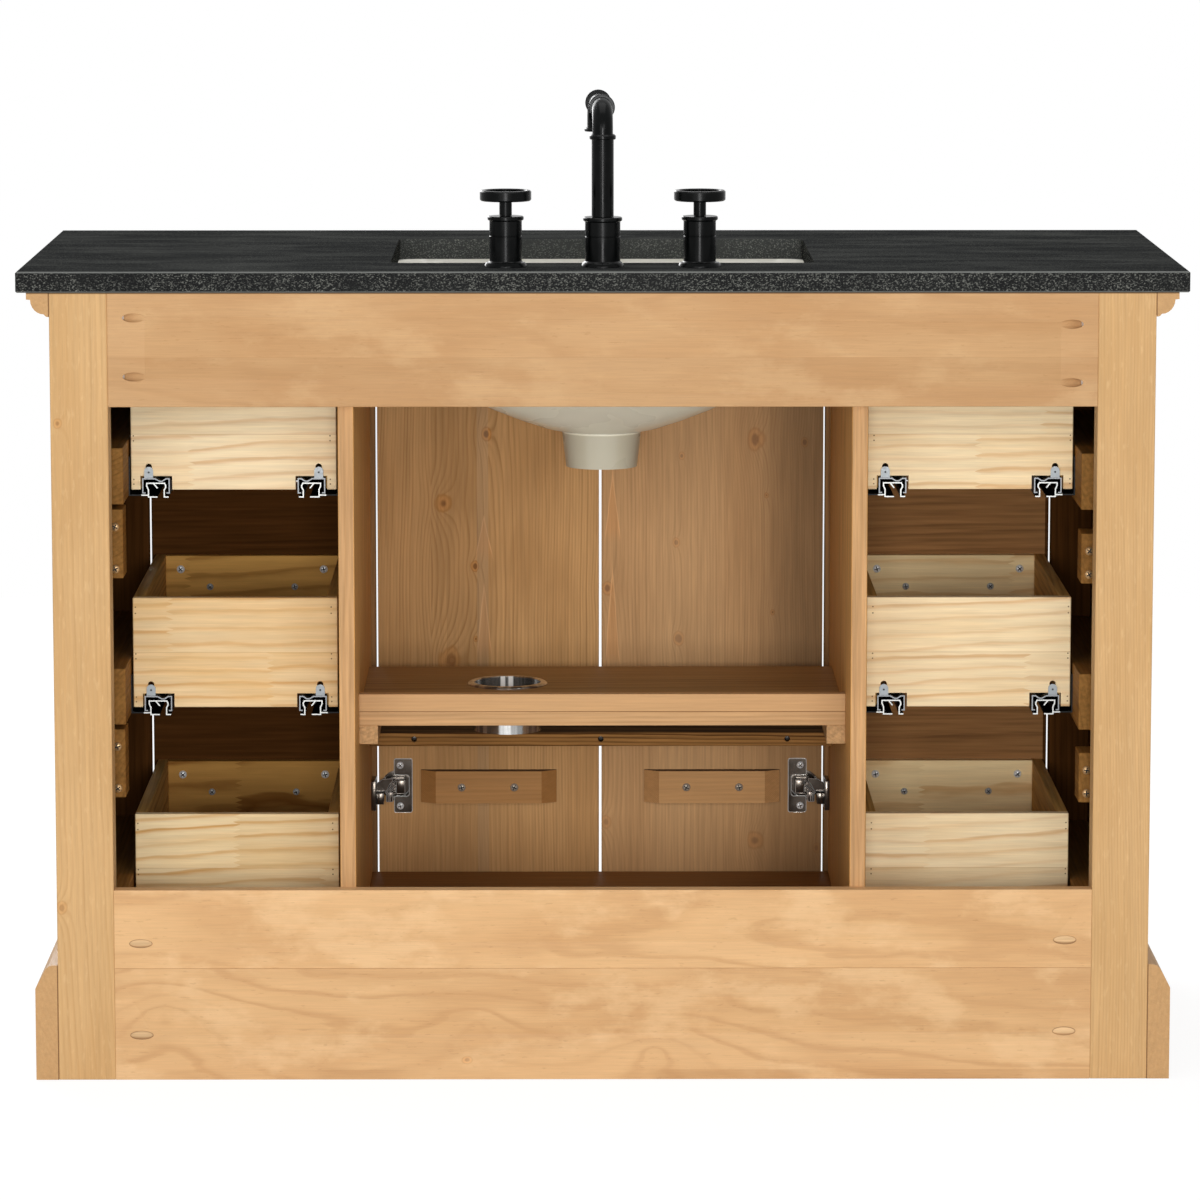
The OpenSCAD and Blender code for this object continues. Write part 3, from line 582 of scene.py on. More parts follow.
f.lay(f.product(f.fade(f.z, rail_shadow, rail_shadow + 0.0028), 0.9), (20, 12, 7))
dress("shelf_apron", sawn(f))
dull_steel = steel("dark screw steel", (96, 92, 88), 0.36, fine_grain).done()
screws("apron_screws", [(x, -0.155, 0.2925) for x in (-0.210, 0, 0.210)], 0.0039, dull_steel,
       "cabinet")

cup_x, cup_y, cup_inside = 0.1036, -0.040, 0.0365
f = steel("spun stainless", (222, 222, 220), 0.13, (40, 40, 900), metal=0.9)
ahead, aside = f.plus(f.y, -cup_y), f.minus(f.x, cup_x)
turned = f.reckon("ARCTAN2", ahead, aside)
bars = f.noise(f.vector(f.product(turned, 4.0), f.product(f.z, 4), 0.4))
f.shade = f.mix(1.0, f.shade, f.ramp(bars, (0.38, 0.4), (0.46, 0.8), (0.54, 1.0), (0.62, 0.55)),
                "MULTIPLY")
# Two painted highlights run down the cup's inner wall, pale and less metallic.
painted_glint = f.fall(f.nearest(turned, -1.66, -1.42), 0.05, 0.10)
painted_glint = f.product(painted_glint, f.below(f.reach(ahead, aside), cup_inside + 0.0007))
f.lay(painted_glint, (255, 255, 252))
f.set(Metallic=f.minus(0.9, f.product(painted_glint, 0.8)))
cup = lathe([(cup_inside, -0.0510), (0.0377, -0.0510), (0.0377, 0.0), (0.0442, 0.0),
             (0.0442, 0.0008), (0.0432, 0.0019), (0.0410, 0.0028), (0.0388, 0.0030),
             (0.0373, 0.0026), (0.0366, 0.0016), (cup_inside, -0.0510)], 96)
grown("dryer_cup_spun", moved(cup, Matrix.Translation((cup_x, cup_y, shelf_top))), f.done(),
      "cabinet", replaces=["dryer_cup"])


# Runner blocks: rough pine blocks glued and screwed to the side panels, which
# carry the outer runner brackets. Short blocks under the upper ones stiffen
# them, each with two brass-plated screws.

dress("runner_spacers", sawn(wood("block pine", "YZX", (158, 113, 59), (121, 80, 37),
                                  pith=(0.2, 0.3), shine=0.02, blotch=((140, 97, 49), 0.5))))
brass = steel("brass plate", (186, 150, 104), 0.3, fine_grain, metal=0.5).done()
short_blocks = ((1, 0.286, 0.3595), (1, 0.522, 0.5955), (-1, 0.2795, 0.333), (-1, 0.5155, 0.569))
screws("block_screws", [(sign * 0.5167, 0.1892, height) for sign, foot, top in short_blocks
                        for height in (top - 0.0185, foot + 0.010)],
       0.0047, brass, "cabinet")


# Fixed runners: rolled steel profiles on bent brackets, screwed to the blocks
# and to the partitions. The plating is dark, and the sawn ends show bright zinc.

bay_middle, bracket_reach = 0.3945, 0.0990


def runner_plate(name, face, end):
    """Dark plated steel, whose ends have another shade."""
    f = Finish(name)
    end_face = f.above(f.unsigned(f.facing[1]), 0.8)
    fine = f.patches((500, 60, 500), detail=3)
    f.shade = f.mix(1.0, f.mix(end_face, colour(*face), colour(*end)),
                    f.ramp(fine, (0.3, 0.85), (0.7, 1.1)), "MULTIPLY")
    f.set(Metallic=0.6, Roughness=f.ramp(fine, (0.3, 0.34), (0.7, 0.48)), Specular_IOR_Level=0.2)
    f.bump(fine, 0.00002)
    return f


f = runner_plate("fixed runner plate", (15, 16, 17), (186, 188, 186))
outward = f.unsigned(f.minus(f.unsigned(f.x), bay_middle))
f.lay(f.above(outward, bracket_reach), (22, 23, 24))
dress("fixed_runners", f.done())


# Drawers: pine boxes of glued strips, bradded through their backs, with a
# thin bottom panel. Channels under each box slide over the fixed runners, and
# a hook at the rear of each channel reaches into a hole in the back.

drawer_pitch, first_opening, box_foot = 0.236, 0.103, 0.136
strip_width, strip_length = 0.0595, 0.31
inner_front_y, front_rear_face = 0.1, -0.2199


def drawer_spot(f):
    """The drawer's number from the foot, and how far a point is from its middle and box's foot."""
    level = f.reckon("FLOOR", f.over(f.minus(f.z, first_opening), drawer_pitch))
    height = f.minus(f.minus(f.z, box_foot), f.product(level, drawer_pitch))
    return level, f.minus(f.unsigned(f.x), bay_middle), height


def strips(f):
    """Numbers the strips of a glued board, which are finger-jointed end to end."""
    level, _, height = drawer_spot(f)
    row = f.plus(f.reckon("FLOOR", f.over(height, strip_width)), f.product(level, 5),
                 f.product(f.reckon("SIGN", f.x), 31), f.product(f.above(f.y, 0), 17))
    start = f.plus(f.over(f.x, strip_length), f.random(row, 5.0))
    finger = f.product(f.reckon("PINGPONG", f.z, 0.0028), 3.0 / strip_length)
    return f.plus(f.product(row, 1.7), f.reckon("FLOOR", f.plus(start, finger)))


f = wood("drawer pine", "XZY", (250, 226, 180), (213, 160, 92), ring=0.0150, pith=(0.1, 0.10),
         slope=0.030, wobble=0.045, contrast=1.0, board=strips, spread=0.14, waves=1.4,
         width=(0.45, 0.84), blotch=((240, 204, 146), 0.6), streaks=(0.90, 1.02), shine=0.02)
# The inner fronts are browner than the rear boards, with painted shade. Painted light
# pales the inner fronts and rear boards on the -x side and the top box's rear boards on
# the +x side. Painted shade darkens the bottom inner front on the +x side, and the
# middle box's rear boards on the +x side are browner.
level, aside, height = drawer_spot(f)
on_left, on_right = f.below(f.x, 0), f.above(f.x, 0)
inner_front, rear = f.below(f.y, inner_front_y), f.above(f.y, inner_front_y)
tint(f, inner_front, (218, 166, 90), (132, 82, 30))
tint(f, f.product(inner_front, on_left), (253, 226, 174), (216, 168, 108))
f.lay(f.product(on_right, inner_front, f.below(level, 0.5), 0.3), (96, 50, 10))
f.lay(f.product(on_right, rear, f.above(level, 1.5), 0.3), (250, 237, 212))
f.lay(f.product(on_right, rear, f.below(f.unsigned(f.minus(level, 1)), 0.5), 0.25),
      (205, 150, 90))
f.lay(f.product(on_left, rear, 0.2), (250, 237, 212))
seam = f.fall(f.nearest(height, strip_width), 0.0001, 0.0005)
f.lay(f.product(seam, 0.35), (180, 128, 74))
# Three pairs of brads go into each side of the box.
brad = f.reach(f.nearest(aside, 0.1071, -0.1033),
               f.nearest(height, 0.1088, 0.102, 0.058, 0.0527, 0.011, 0.006))
brad = f.product(f.fall(brad, 0.0005, 0.0010), f.above(f.facing[1], 0.8), f.above(f.y, 0))
f.lay(f.product(brad, 0.9), (96, 62, 34))
corner = f.fall(f.nearest(f.unsigned(aside), 0.110), 0.0003, 0.0011)
f.lay(f.product(corner, 0.45), (150, 104, 60))
rear_pine = sawn(f)
side_pine = sawn(wood("drawer side pine", "YZX", (222, 174, 102), (180, 126, 60), ring=0.006,
                      pith=(0.1, 0.2), slope=0.02, wobble=0.03, contrast=0.8, shine=0.02))

f = runner_plate("channel plate", (22, 23, 25), (128, 131, 134))
level, aside, height = drawer_spot(f)
hook = f.product(f.above(height, 0.0132), f.above(f.y, 0.1178))
f.lay(hook, (130, 135, 138))
hole = f.reach(f.nearest(aside, 0.091, -0.091), f.nearest(height, 0.0188))
f.lay(f.product(hook, f.fall(hole, 0.0008, 0.0013)), (20, 20, 20))
channel_plate = f.done()

grey_steel = steel("grey screw steel", (178, 180, 180), 0.36, fine_grain, metal=0.2).done()
front_pine = sawn(case_wood("drawer front pine", "XZY", ring=0.006, pith=(0.1, 0.2),
                            contrast=0.5))
box_side, back_inside = 0.0979, 0.1059
for side, sign in (("left", -1), ("right", 1)):
    for number, level in enumerate(("bottom", "middle", "top")):
        drawer = f"drawer_{side}_{level}"
        foot = box_foot + number * drawer_pitch
        dress(drawer + "_box", rear_pine)
        mesh = nodes[drawer + "_box"].data
        mesh.materials.append(side_pine)
        for face in mesh.polygons:
            away = abs(abs(face.center.x) - bay_middle)
            face.material_index = int(away > box_side and face.center.y < back_inside)
        dress(drawer + "_runners", channel_plate)
        dress(drawer + "_front", front_pine)
        for name, reach, height, radius, metal in (("_front_screws", 0.081, 0.1036, 0.0046, zinc),
                                                   ("_pull_screws", 0.048, 0.0835, 0.0039,
                                                    grey_steel)):
            screws(drawer + name, [(sign * (bay_middle + x), front_rear_face, foot + height)
                                   for x in (-reach, reach)], radius, metal, drawer)


# Pulls: round steel bars on two posts, powder-coated black. Each is held by
# two screws from behind, through its drawer front or its door.

def enamel(name, shade, roughness, gloss):
    """Satin paint or powder coat with a fine orange peel."""
    f = Finish(name)
    cloud = f.noise(f.spot, 45, 3)
    f.shade = f.mix(f.fade(cloud, 0.4, 0.75), colour(*shade), colour(*[p + 7 for p in shade]))
    f.set(Roughness=f.ramp(cloud, (0.3, roughness - 0.05), (0.7, roughness + 0.07)),
          Specular_IOR_Level=gloss)
    f.bump(f.noise(f.spot, 1400, 2), 0.00004, 0.35)
    return f.done()


def rod(radius, length, ease=0.0008, steps=32):
    """A round bar along +Z from the origin, with softened ends."""
    return lathe([(0, 0), (radius - ease, 0), (radius - ease * 0.3, ease * 0.3), (radius, ease),
                  (radius, length - ease), (radius - ease * 0.3, length - ease * 0.3),
                  (radius - ease, length), (0, length)], steps)


black = enamel("black coat", (4, 5, 5), 0.22, 0.08)
bar_length, bar_reach, post_spacing, front_face = 0.128, 0.026, 0.096, -0.253
ALONG_X = Matrix.Rotation(math.radians(90), 4, "Y")


def pull(name, at, upright, body, node):
    """A bar pull that stands out to the front, at the middle between its posts."""
    bar = moved(rod(0.006, bar_length, 0.0016), Matrix.Translation((0, 0, -bar_length / 2)),
                ALONG_X, Matrix.Translation((0, -bar_reach, 0)))
    posts = [moved(rod(0.005, bar_reach, 0.0005), Matrix.Rotation(math.radians(90), 4, "X"),
                   Matrix.Translation((x, 0, 0))) for x in (-post_spacing / 2, post_spacing / 2)]
    grown(name, moved(joined(bar, *posts), ALONG_X if upright else Matrix(),
                      Matrix.Translation(at)), black, body, replaces=[node])


for side, sign in (("left", -1), ("right", 1)):
    for number, level in enumerate(("bottom", "middle", "top")):
        drawer = f"drawer_{side}_{level}"
        height = 0.2195 + number * drawer_pitch
        pull(drawer + "_bar_pull", (sign * bay_middle, front_face, height), False, drawer,
             drawer + "_pull")


# Doors: three glued pine planks each, grooved outside and stained brown
# inside. Two bevelled battens are screwed across the back of each, and the
# hinge-side edge is planed back a little for clearance.

knots = ((0.628, 0.1296, 0.008, 0.9), (0.549, 0.1777, 0.012, 0.8), (0.477, 0.1419, 0.006, 0.9),
         (0.3935, 0.1413, 0.004, 0.8), (0.369, 0.1704, 0.016, 0.6), (0.603, -0.092, 0.005, 0.9),
         (0.504, -0.0865, 0.0055, 0.8), (0.452, -0.008, 0.008, 0.8),
         (0.622, -0.1758, 0.013, 0.7), (0.6185, -0.2316, 0.005, 0.9),
         (0.558, -0.1886, 0.004, 0.8), (0.424, -0.196, 0.004, 0.9),
         (0.394, -0.0884, 0.007, 0.8), (0.182, -0.0064, 0.008, 0.6),
         (0.160, -0.1776, 0.012, 0.9), (0.1515, -0.247, 0.006, 0.9))
f = wood("door planks", "ZXY", (206, 161, 108), (165, 122, 75), ring=0.0030, pith=(0.16, -0.34),
         wobble=0.03, contrast=0.82, spread=0.4, streaks=(0.87, 1.05), shine=0.03, knots=knots,
         seams=(-0.192, -0.140, 0, 0.127, 0.140, 0.192), blotch=((180, 136, 86), 0.6))
# The planks differ in tone, and the left door's are greyer. Painted shade darkens both
# doors towards their hinges, most by the left door's hinges, and painted light pales
# the left door's middle and the foot of both.
f.lay(f.product(f.fade(f.x, 0.11, 0.15), 0.3), (143, 106, 67))
f.lay(f.product(f.below(f.x, 0), 0.3), (184, 150, 118))
f.lay(f.product(f.fall(f.nearest(f.x, -0.1), 0.02, 0.06), 0.25), (214, 176, 130))
f.lay(f.product(f.fall(f.x, -0.235, -0.15), 0.62), (97, 74, 50))
f.lay(f.product(f.fall(f.z, 0.27, 0.33), 0.22), (226, 172, 116))
# Flames of paler wood, where the saw ran out of a ring. Each is widest at its foot.
waver = f.patches((60, 60, 22))
flame_width = 0.0078
for middle, low, high in ((0.132, 0.389, 0.463), (0.132, 0.500, 0.537), (-0.014, 0.380, 0.487),
                          (-0.014, 0.522, 0.592)):
    narrow = f.product(f.minus(f.z, low), flame_width / (high - low))
    flame = f.plus(f.nearest(f.x, middle), f.plus(narrow, f.product(waver, 0.002)))
    within = f.product(f.fade(f.z, low - 0.02, low), f.below(f.z, high))
    f.lay(f.product(f.fall(flame, 0.0070, 0.0088), within, 0.4), (212, 152, 96))
    outline = f.fall(f.nearest(flame, flame_width), 0.0002, 0.0011)
    f.lay(f.product(outline, within, 0.55), (228, 178, 126))
f.lay(f.product(f.above(f.x, 0.127), f.below(f.x, 0.140), 0.25), (178, 154, 124))
tint(f, f.below(f.facing[1], -0.2), (224, 182, 132), (196, 148, 94))
door_pine = sawn(f)

f = wood("batten pine", "XZY", (206, 160, 106), (172, 125, 74), ring=0.0032,
         pith=(0.15, -0.3), contrast=0.45, blotch=((188, 142, 90), 0.5), streaks=(0.9, 1.02))
ends = f.fade(f.unsigned(f.facing[0]), 0.3, 0.5)
slant = f.reckon("PINGPONG", f.plus(f.product(f.y, 1.4), f.z), 0.0011)
f.lay(f.product(ends, f.plus(0.25, f.product(f.fade(slant, 0.0003, 0.0008), 0.35))),
      (130, 86, 46))
# Painted shade darkens the battens on the +x door, and painted light pales those on the -x door.
f.lay(f.product(f.above(f.x, 0), 0.4), (171, 109, 43))
f.lay(f.product(f.below(f.x, 0), 0.3), (231, 173, 115))
# Painted shade outlines each batten on its top and foot and along the door's face.
rim = f.most(f.unsigned(f.facing[2]), f.fall(f.y, -0.2319, -0.2304))
f.lay(f.product(rim, 0.92), (58, 35, 18))
batten_pine = sawn(f)
warm_steel = steel("warm screw steel", (178, 166, 150), 0.36, fine_grain, metal=0.35).done()
batten_face, door_rear_face, door_pull_x, door_pull_z = -0.219, -0.2330, 0.032, 0.710
for side, sign in (("left", -1), ("right", 1)):
    door = "door_" + side
    planed = merged(door + "_panel")
    hinge_edge = max(abs(vert.co.x) for vert in planed.verts)
    for vert in planed.verts:
        if abs(vert.co.x) > hinge_edge - 0.0006:
            vert.co.x -= sign * 0.0008
    grown(door + "_planks", planed, door_pine, door, replaces=[door + "_panel"])
    dress(door + "_battens", batten_pine)
    screws(door + "_batten_screws", [(sign * x, batten_face, z) for x in (0.1581, 0.0981)
                                     for z in (0.2245, 0.6865)], 0.0047, warm_steel, door)
    posts = [door_pull_z + z for z in (-post_spacing / 2, post_spacing / 2)]
    screws(door + "_pull_screws", [(sign * door_pull_x, door_rear_face, z) for z in posts],
           0.0042, grey_steel, door)
    pull(door + "_bar_pull", (sign * door_pull_x, front_face, door_pull_z), True, door,
         door + "_pull")


# Concealed hinges: pressed steel, plated dark nickel. A cup sits in a bore in
# the door under a screwed plate, and an arm joins it to a block on the
# partition. All their shapes are drawn for the right door, about z = 0.

def sheet(outline, y, thickness, corner=0.0, ease=0.0004):
    """A plate cut to an outline of (x, z) points, from y towards the rear."""
    bm = bmesh.new()
    face = bm.faces.new([bm.verts.new((px, y, pz)) for px, pz in outline])
    if corner:
        bmesh.ops.bevel(bm, geom=bm.verts[:], offset=corner, segments=4, profile=0.5,
                        affect="VERTICES", material=-1)
    raised = bmesh.ops.extrude_face_region(bm, geom=bm.faces[:])["geom"]
    bmesh.ops.translate(bm, vec=(0, thickness, 0),
                        verts=[item for item in raised if isinstance(item, bmesh.types.BMVert)])
    bmesh.ops.recalc_face_normals(bm, faces=bm.faces)
    if ease:
        rims = [edge for edge in bm.edges if edge.calc_face_angle(0) > 0.9
                and abs(edge.verts[0].co.y - edge.verts[1].co.y) < 1e-6]
        bmesh.ops.bevel(bm, geom=rims, offset=ease, segments=1, profile=0.5, affect="EDGES",
                        material=-1)
    return bm


f = steel("dark nickel", (88, 81, 74), 0.19, (40, 40, 40), 0.000005, 0.85)
flat = f.unsigned(f.facing[1])
# Painted shade darkens the sides of the plates and arms, and a painted highlight pales their
# bevelled edges and makes them less metallic.
f.lay(f.fall(flat, 0.1, 0.35), (22, 20, 18))
painted_edge_highlight = f.product(f.fade(flat, 0.3, 0.5), f.fall(flat, 0.85, 0.97))
f.lay(f.product(painted_edge_highlight, 0.9), (232, 230, 226))
f.set(Metallic=f.minus(0.85, f.product(painted_edge_highlight, 0.55)))
nickel = f.done()
hinge_heights, cup_middle, plate_back, screw_reach = (0.2245, 0.6945), 0.232, -0.2330, 0.0235
plate_outline = [(0.2142, -0.0315), (0.2356, -0.0315), (0.2356, -0.0118), (0.2185, -0.0118),
                 (0.2185, 0.0120), (0.2356, 0.0120), (0.2356, 0.0315), (0.2142, 0.0315)]


def hinge_cup():
    """The cup, its plate, and the links, bridge and yoke in its mouth."""
    bowl = moved(lathe([(0.0155, 0.0012), (0.0175, 0.0008), (0.0175, 0.0), (0.0158, 0.0),
                        (0.0158, -0.0110), (0, -0.0110), (0, -0.0106), (0.0146, -0.0106),
                        (0.0152, -0.0100), (0.0155, 0.0012)], 48), TO_THE_REAR,
                 Matrix.Translation((cup_middle, plate_back, 0)))
    plate = sheet(plate_outline, plate_back, 0.0018, 0.0026, 0.0010)
    links = [block((0.2240, -0.2425, z - 0.0006), (0.2395, -0.2262, z + 0.0006))
             for z in (-0.0085, 0.0072)]
    bridge = block((0.2225, -0.2300, -0.0085), (0.2330, -0.2262, 0.0072), 0.0010, 3)
    yoke = sheet([(0.2262, 0.0078), (0.2330, 0.0088), (0.2385, 0.0040), (0.2385, 0.0016),
                  (0.2330, 0.0062), (0.2262, 0.0062)], -0.2268, 0.0022, 0, 0.0003)
    return joined(bowl, plate, *links, bridge, yoke)


def hinge_arm():
    """The block on the partition, and the bent arm that reaches the cup."""
    foot = block((0.2464, -0.2280, -0.0170), (0.2546, -0.2030, -0.0040), 0.0006)
    bracket = block((0.2546, -0.2330, -0.0230), (0.2603, -0.1960, 0.0110), 0.0008)
    knuckle = moved(rod(0.0016, 0.0105, 0.0003, 16),
                    Matrix.Translation((0.2406, -0.2135, -0.0150)))
    arm = sheet([(0.2575, 0.0010), (0.2555, 0.0054), (0.2480, 0.0105), (0.2365, 0.0112),
                 (0.2365, 0.0085), (0.2400, 0.0040), (0.2440, -0.0035), (0.2575, -0.0040)],
                -0.2150, 0.0018)
    rib = sheet([(0.2455, -0.0050), (0.2440, -0.0058), (0.2345, 0.0052), (0.2362, 0.0066)],
                -0.2135, 0.0030)
    spring = sheet([(0.2405, -0.0030), (0.2330, 0.0042), (0.2318, 0.0026), (0.2392, -0.0044)],
                   -0.2140, 0.0022)
    cheek = block((0.2360, -0.2330, -0.0165), (0.2440, -0.2150, -0.0045), 0.0012, 3)
    return joined(foot, bracket, knuckle, arm, rib, spring, cheek)


arms = []
for side, sign in (("left", -1), ("right", 1)):
    door = "door_" + side
    cups = []
    for z in hinge_heights:
        cups.append(moved(hinge_cup(), Matrix.Translation((0, 0, z))))
        arms.append(moved(hinge_arm(), Matrix.Diagonal((sign, 1, 1, 1)),
                          Matrix.Translation((0, 0, z))))
        screws(f"{door}_hinge_screws_{int(z * 1000)}",
               [(sign * 0.2283, -0.2317, z + s * screw_reach) for s in (-1, 1)], 0.0042, zinc,
               door)
    cups = moved(joined(*cups), Matrix.Diagonal((sign, 1, 1, 1)))
    bmesh.ops.recalc_face_normals(cups, faces=cups.faces)
    grown(door + "_hinge_cups_pressed", cups, nickel, door,
          replaces=[door + "_hinge_cups"])
arms = joined(*arms)
bmesh.ops.recalc_face_normals(arms, faces=arms.faces)
grown("hinge_arms_pressed", arms, nickel, "cabinet", replaces=["hinge_arms"])


# Basin: one piece of fired clay, glazed inside, with a flat rim that is glued
# to the underside of the stone and a tapered outlet. Painted shade greys its
# underside and darkens the outlet's foot.
# The bowl's flanks rise a little faster than on the plain solid.

f = Finish("fired clay")
cloud = f.noise(f.spot, 12, 3)
f.shade = f.mix(f.fade(cloud, 0.3, 0.7), colour(221, 217, 198), colour(213, 209, 189))
# Painted shade darkens the outlet's foot. The faces turned upwards are paler than the rest, which
# carries painted shade.
f.lay(f.product(f.below(f.z, 0.6585), 0.9), (178, 172, 152))
f.lay(f.fade(f.facing[2], -0.05, 0.15), (238, 236, 228))
f.set(Roughness=f.ramp(cloud, (0.3, 0.24), (0.7, 0.32)), Coat_Weight=0.4, Coat_Roughness=0.06,
      Specular_IOR_Level=0.3)
f.bump(f.noise(f.spot, 160, 2), 0.0001, 0.3)
basin = merged("sink_basin")
basin.normal_update()
outlet_y, outlet_radius, outlet_inside, outlet_height = 0.016, 0.0425, 0.030, 0.0384
bowl_foot, inner_foot, rim_foot, bowl_depth, lift = 0.660, 0.670, 0.8235, 0.164, 0.009
for vert in basin.verts:
    reach = math.hypot(vert.co.x, vert.co.y - outlet_y)
    if reach > outlet_radius and bowl_foot - 0.001 < vert.co.z < rim_foot:
        rise = max(vert.co.z - (inner_foot if vert.normal.z > 0 else bowl_foot), 0)
        vert.co.z += lift * (1 - math.exp(-rise / 0.008)) * max(1 - (rise / bowl_depth) ** 2, 0)
    elif reach > outlet_inside and vert.co.z < bowl_foot + 0.0005:
        wider = 1.02 + 0.03 * (bowl_foot - vert.co.z) / outlet_height
        vert.co.x *= wider
        vert.co.y = outlet_y + (vert.co.y - outlet_y) * wider
grown("basin_fired", basin, f.done(), "cabinet", replaces=["sink_basin"])


# Stone top: a slab of black stone, honed so that it stays dull, with its
# arrises just broken. The basin's cut-out and the tap holes are sawn through
# it, and the sawn edges show pale flecks.

f = Finish("honed black stone")
cloud = f.patches((7, 26, 26), detail=5, roughness=0.62)
fleck = f.patches((560, 900, 900), detail=3, roughness=0.7)
grit = f.noise(f.spot, 1500, 2, 0.6)
f.shade = f.mix(f.fade(cloud, 0.36, 0.72), colour(37, 38, 39), colour(62, 63, 62))
up = f.unsigned(f.facing[2])
upright = f.below(up, 0.3)
arris_highlight = f.product(f.above(up, 0.3), f.below(up, 0.95))
dots = f.product(f.fade(fleck, 0.51, 0.65), f.fade(f.noise(f.spot, 16, 3), 0.10, 0.55),
                 f.plus(0.2, f.product(upright, 0.55)))
f.lay(dots, (150, 151, 143))
f.lay(f.product(f.fade(grit, 0.5, 0.7), 0.16), (96, 98, 96))
# Painted shade darkens the upright faces between the flecks.
f.lay(f.product(upright, f.rest(dots), 0.85), (9, 10, 10))
# Painted light pales the basin cut-out's front wall, which faces the rear.
front_wall_painted_light = f.product(upright, f.below(f.y, 0), f.above(f.facing[1], 0.5))
f.lay(f.product(front_wall_painted_light, 0.25), (104, 107, 104))
# A painted highlight pales the broken arrises.
f.lay(f.product(arris_highlight, 0.5), (128, 130, 126))
graze = f.node("LayerWeight", {"Blend": 0.5}).outputs["Facing"]
gloss = f.product(f.ramp(graze, (0.4, 0.14), (0.8, 0.0)), f.rest(f.product(upright, 0.6)))
# 0 is for a picture that can't follow the gloss, which fades where the eye grazes the top.
f.set(Specular_IOR_Level=0.0)
f.set(Specular_IOR_Level=gloss, Roughness=f.ramp(grit, (0.3, 0.46), (0.7, 0.62)))
f.bump(f.plus(f.product(fleck, 0.6), f.product(grit, 0.4)), 0.0002)
grown("stone_top", merged("countertop"), f.done(), "cabinet",
      replaces=["countertop"])


# Faucet: cast and turned brass under a black coat. A riser swivels in a base,
# and two spoked wheels open the valves beside it. Nuts hold all three from below.

for node in ("spout_base", "valve_bodies", "spout", "hot_wheel", "cold_wheel"):
    body = nodes[node]["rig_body"]
    grown(node + "_coated", merged(node), black, body, replaces=[node])
dress("faucet_nuts", steel("turned brass", (190, 160, 98), 0.3, (300, 300, 300)).done())


# Room: a white sweep of floor, soft lamps behind, before and over the unit,
# and the camera behind it, half a metre above its top. The camera and the
# reflections see the floor and the air as white.

def seen_white(tree):
    """1 where the camera, a reflection or glass looks, and 0 for the light itself."""
    path = tree.nodes.new("ShaderNodeLightPath")
    seen = path.outputs["Is Camera Ray"]
    for name in ("Is Glossy Ray", "Is Transmission Ray"):
        either = tree.nodes.new("ShaderNodeMath")
        either.operation = "MAXIMUM"
        tree.links.new(seen, either.inputs[0])
        tree.links.new(path.outputs[name], either.inputs[1])
        seen = either.outputs[0]
    return seen


# The air lights the unit softly.
air_light = 0.28
world = bpy.data.worlds.new("studio")
bpy.context.scene.world = world
world.use_nodes = True
tree = world.node_tree
sky = tree.nodes["Background"]
sky.inputs["Color"].default_value = (1, 1, 1, 1)
sky.inputs["Strength"].default_value = air_light
plain = tree.nodes.new("ShaderNodeBackground")
plain.inputs["Color"].default_value = (1, 1, 1, 1)
choose = tree.nodes.new("ShaderNodeMixShader")
tree.links.new(seen_white(tree), choose.inputs[0])
tree.links.new(sky.outputs[0], choose.inputs[1])
tree.links.new(plain.outputs[0], choose.inputs[2])
tree.links.new(choose.outputs[0], tree.nodes["World Output"].inputs[0])

f = Finish("floor paint")
f.set(Base_Color=(0.9, 0.9, 0.9, 1), Roughness=0.9)
away = f.node("VectorMath", {0: f.spot}, operation="LENGTH").outputs["Value"]
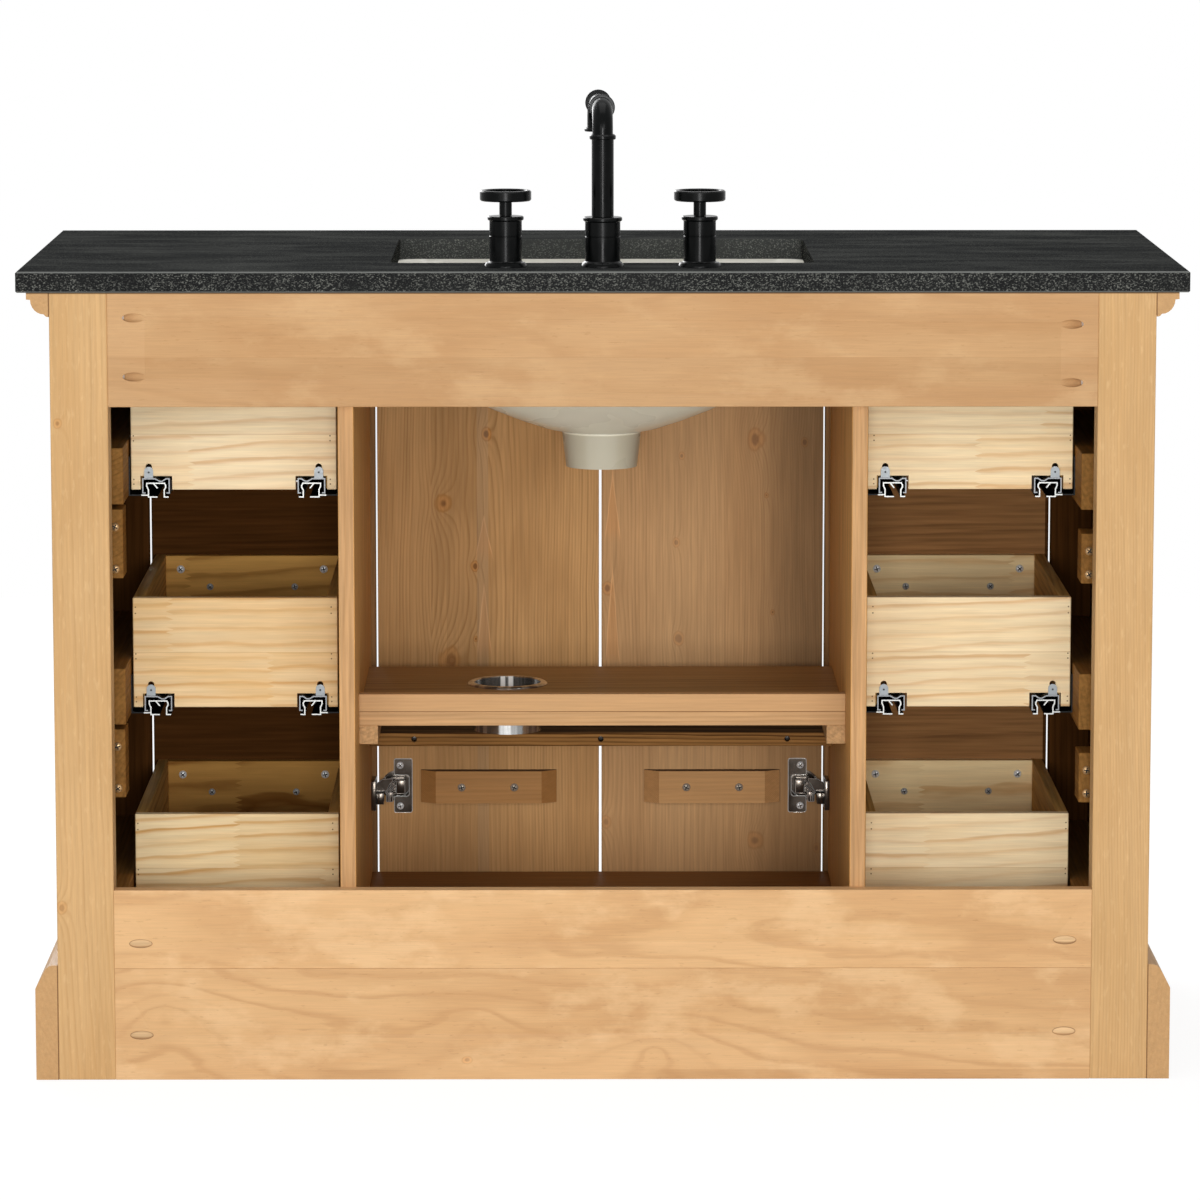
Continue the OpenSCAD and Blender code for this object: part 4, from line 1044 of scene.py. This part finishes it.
# Where it is seen near the unit, a fifth of the floor's look is paint that takes the shadow.
# Farther out it is all plain white.
share, glow = (f.node("MapRange", {"Value": away, "From Min": 1.5, "From Max": 3.5,
                                   "To Min": near, "To Max": far}).outputs[0]
               for near, far in ((0.8, 1.0), (1.1, 1.0)))
white = f.node("Emission", {"Strength": glow}).outputs[0]
painted = f.node("MixShader", {0: f.product(seen_white(f.tree), share),
                               1: f.shader.outputs[0], 2: white}).outputs[0]
f.tree.links.new(painted, f.tree.nodes["Material Output"].inputs[0])
floor = bmesh.new()
bmesh.ops.create_grid(floor, x_segments=1, y_segments=1, size=30)
bmesh.ops.translate(floor, verts=floor.verts, vec=(0, 0, -0.0005))
floor_mesh = bpy.data.meshes.new("floor")
floor.to_mesh(floor_mesh)
floor.free()
floor_mesh.materials.append(f.material)
floor_object = bpy.data.objects.new("floor", floor_mesh)
bpy.context.scene.collection.objects.link(floor_object)


def aimed(thing, direction):
    """Turns a lamp or a camera to look along a direction."""
    thing.rotation_euler = direction.to_track_quat("-Z", "Y").to_euler()
    bpy.context.scene.collection.objects.link(thing)


unit_middle = Vector((0, 0, 0.5))
for name, place, size, power in (("rear softbox", (-1.1, 4.6, 1.7), 1.6, 40),
                                 ("rear fill", (1.5, 4.6, 1.5), 1.6, 30),
                                 ("rear middle", (0.0, 6.8, 0.9), 1.2, 165),
                                 ("front softbox", (1.6, -3.6, 2.0), 2.4, 110),
                                 ("top softbox", (0, 0.2, 3.6), 2.4, 45)):
    lamp = bpy.data.lights.new(name, "AREA")
    lamp.energy = power
    lamp.size = size
    light = bpy.data.objects.new(name, lamp)
    light.location = place
    light.visible_camera = False
    aimed(light, unit_middle - Vector(place))

lens = bpy.data.cameras.new("camera")
lens.sensor_width = 36
lens.lens = 171.26
lens.clip_end = 60
camera = bpy.data.objects.new("camera", lens)
camera.location = (0.03585, 6.192375, 1.354814)
turn, tilt = math.radians(-0.317), math.radians(8.119)
aimed(camera, Vector((math.sin(turn) * math.cos(tilt), -math.cos(turn) * math.cos(tilt),
                      -math.sin(tilt))))
bpy.context.scene.camera = camera
bpy.context.scene.view_settings.view_transform = "Standard"
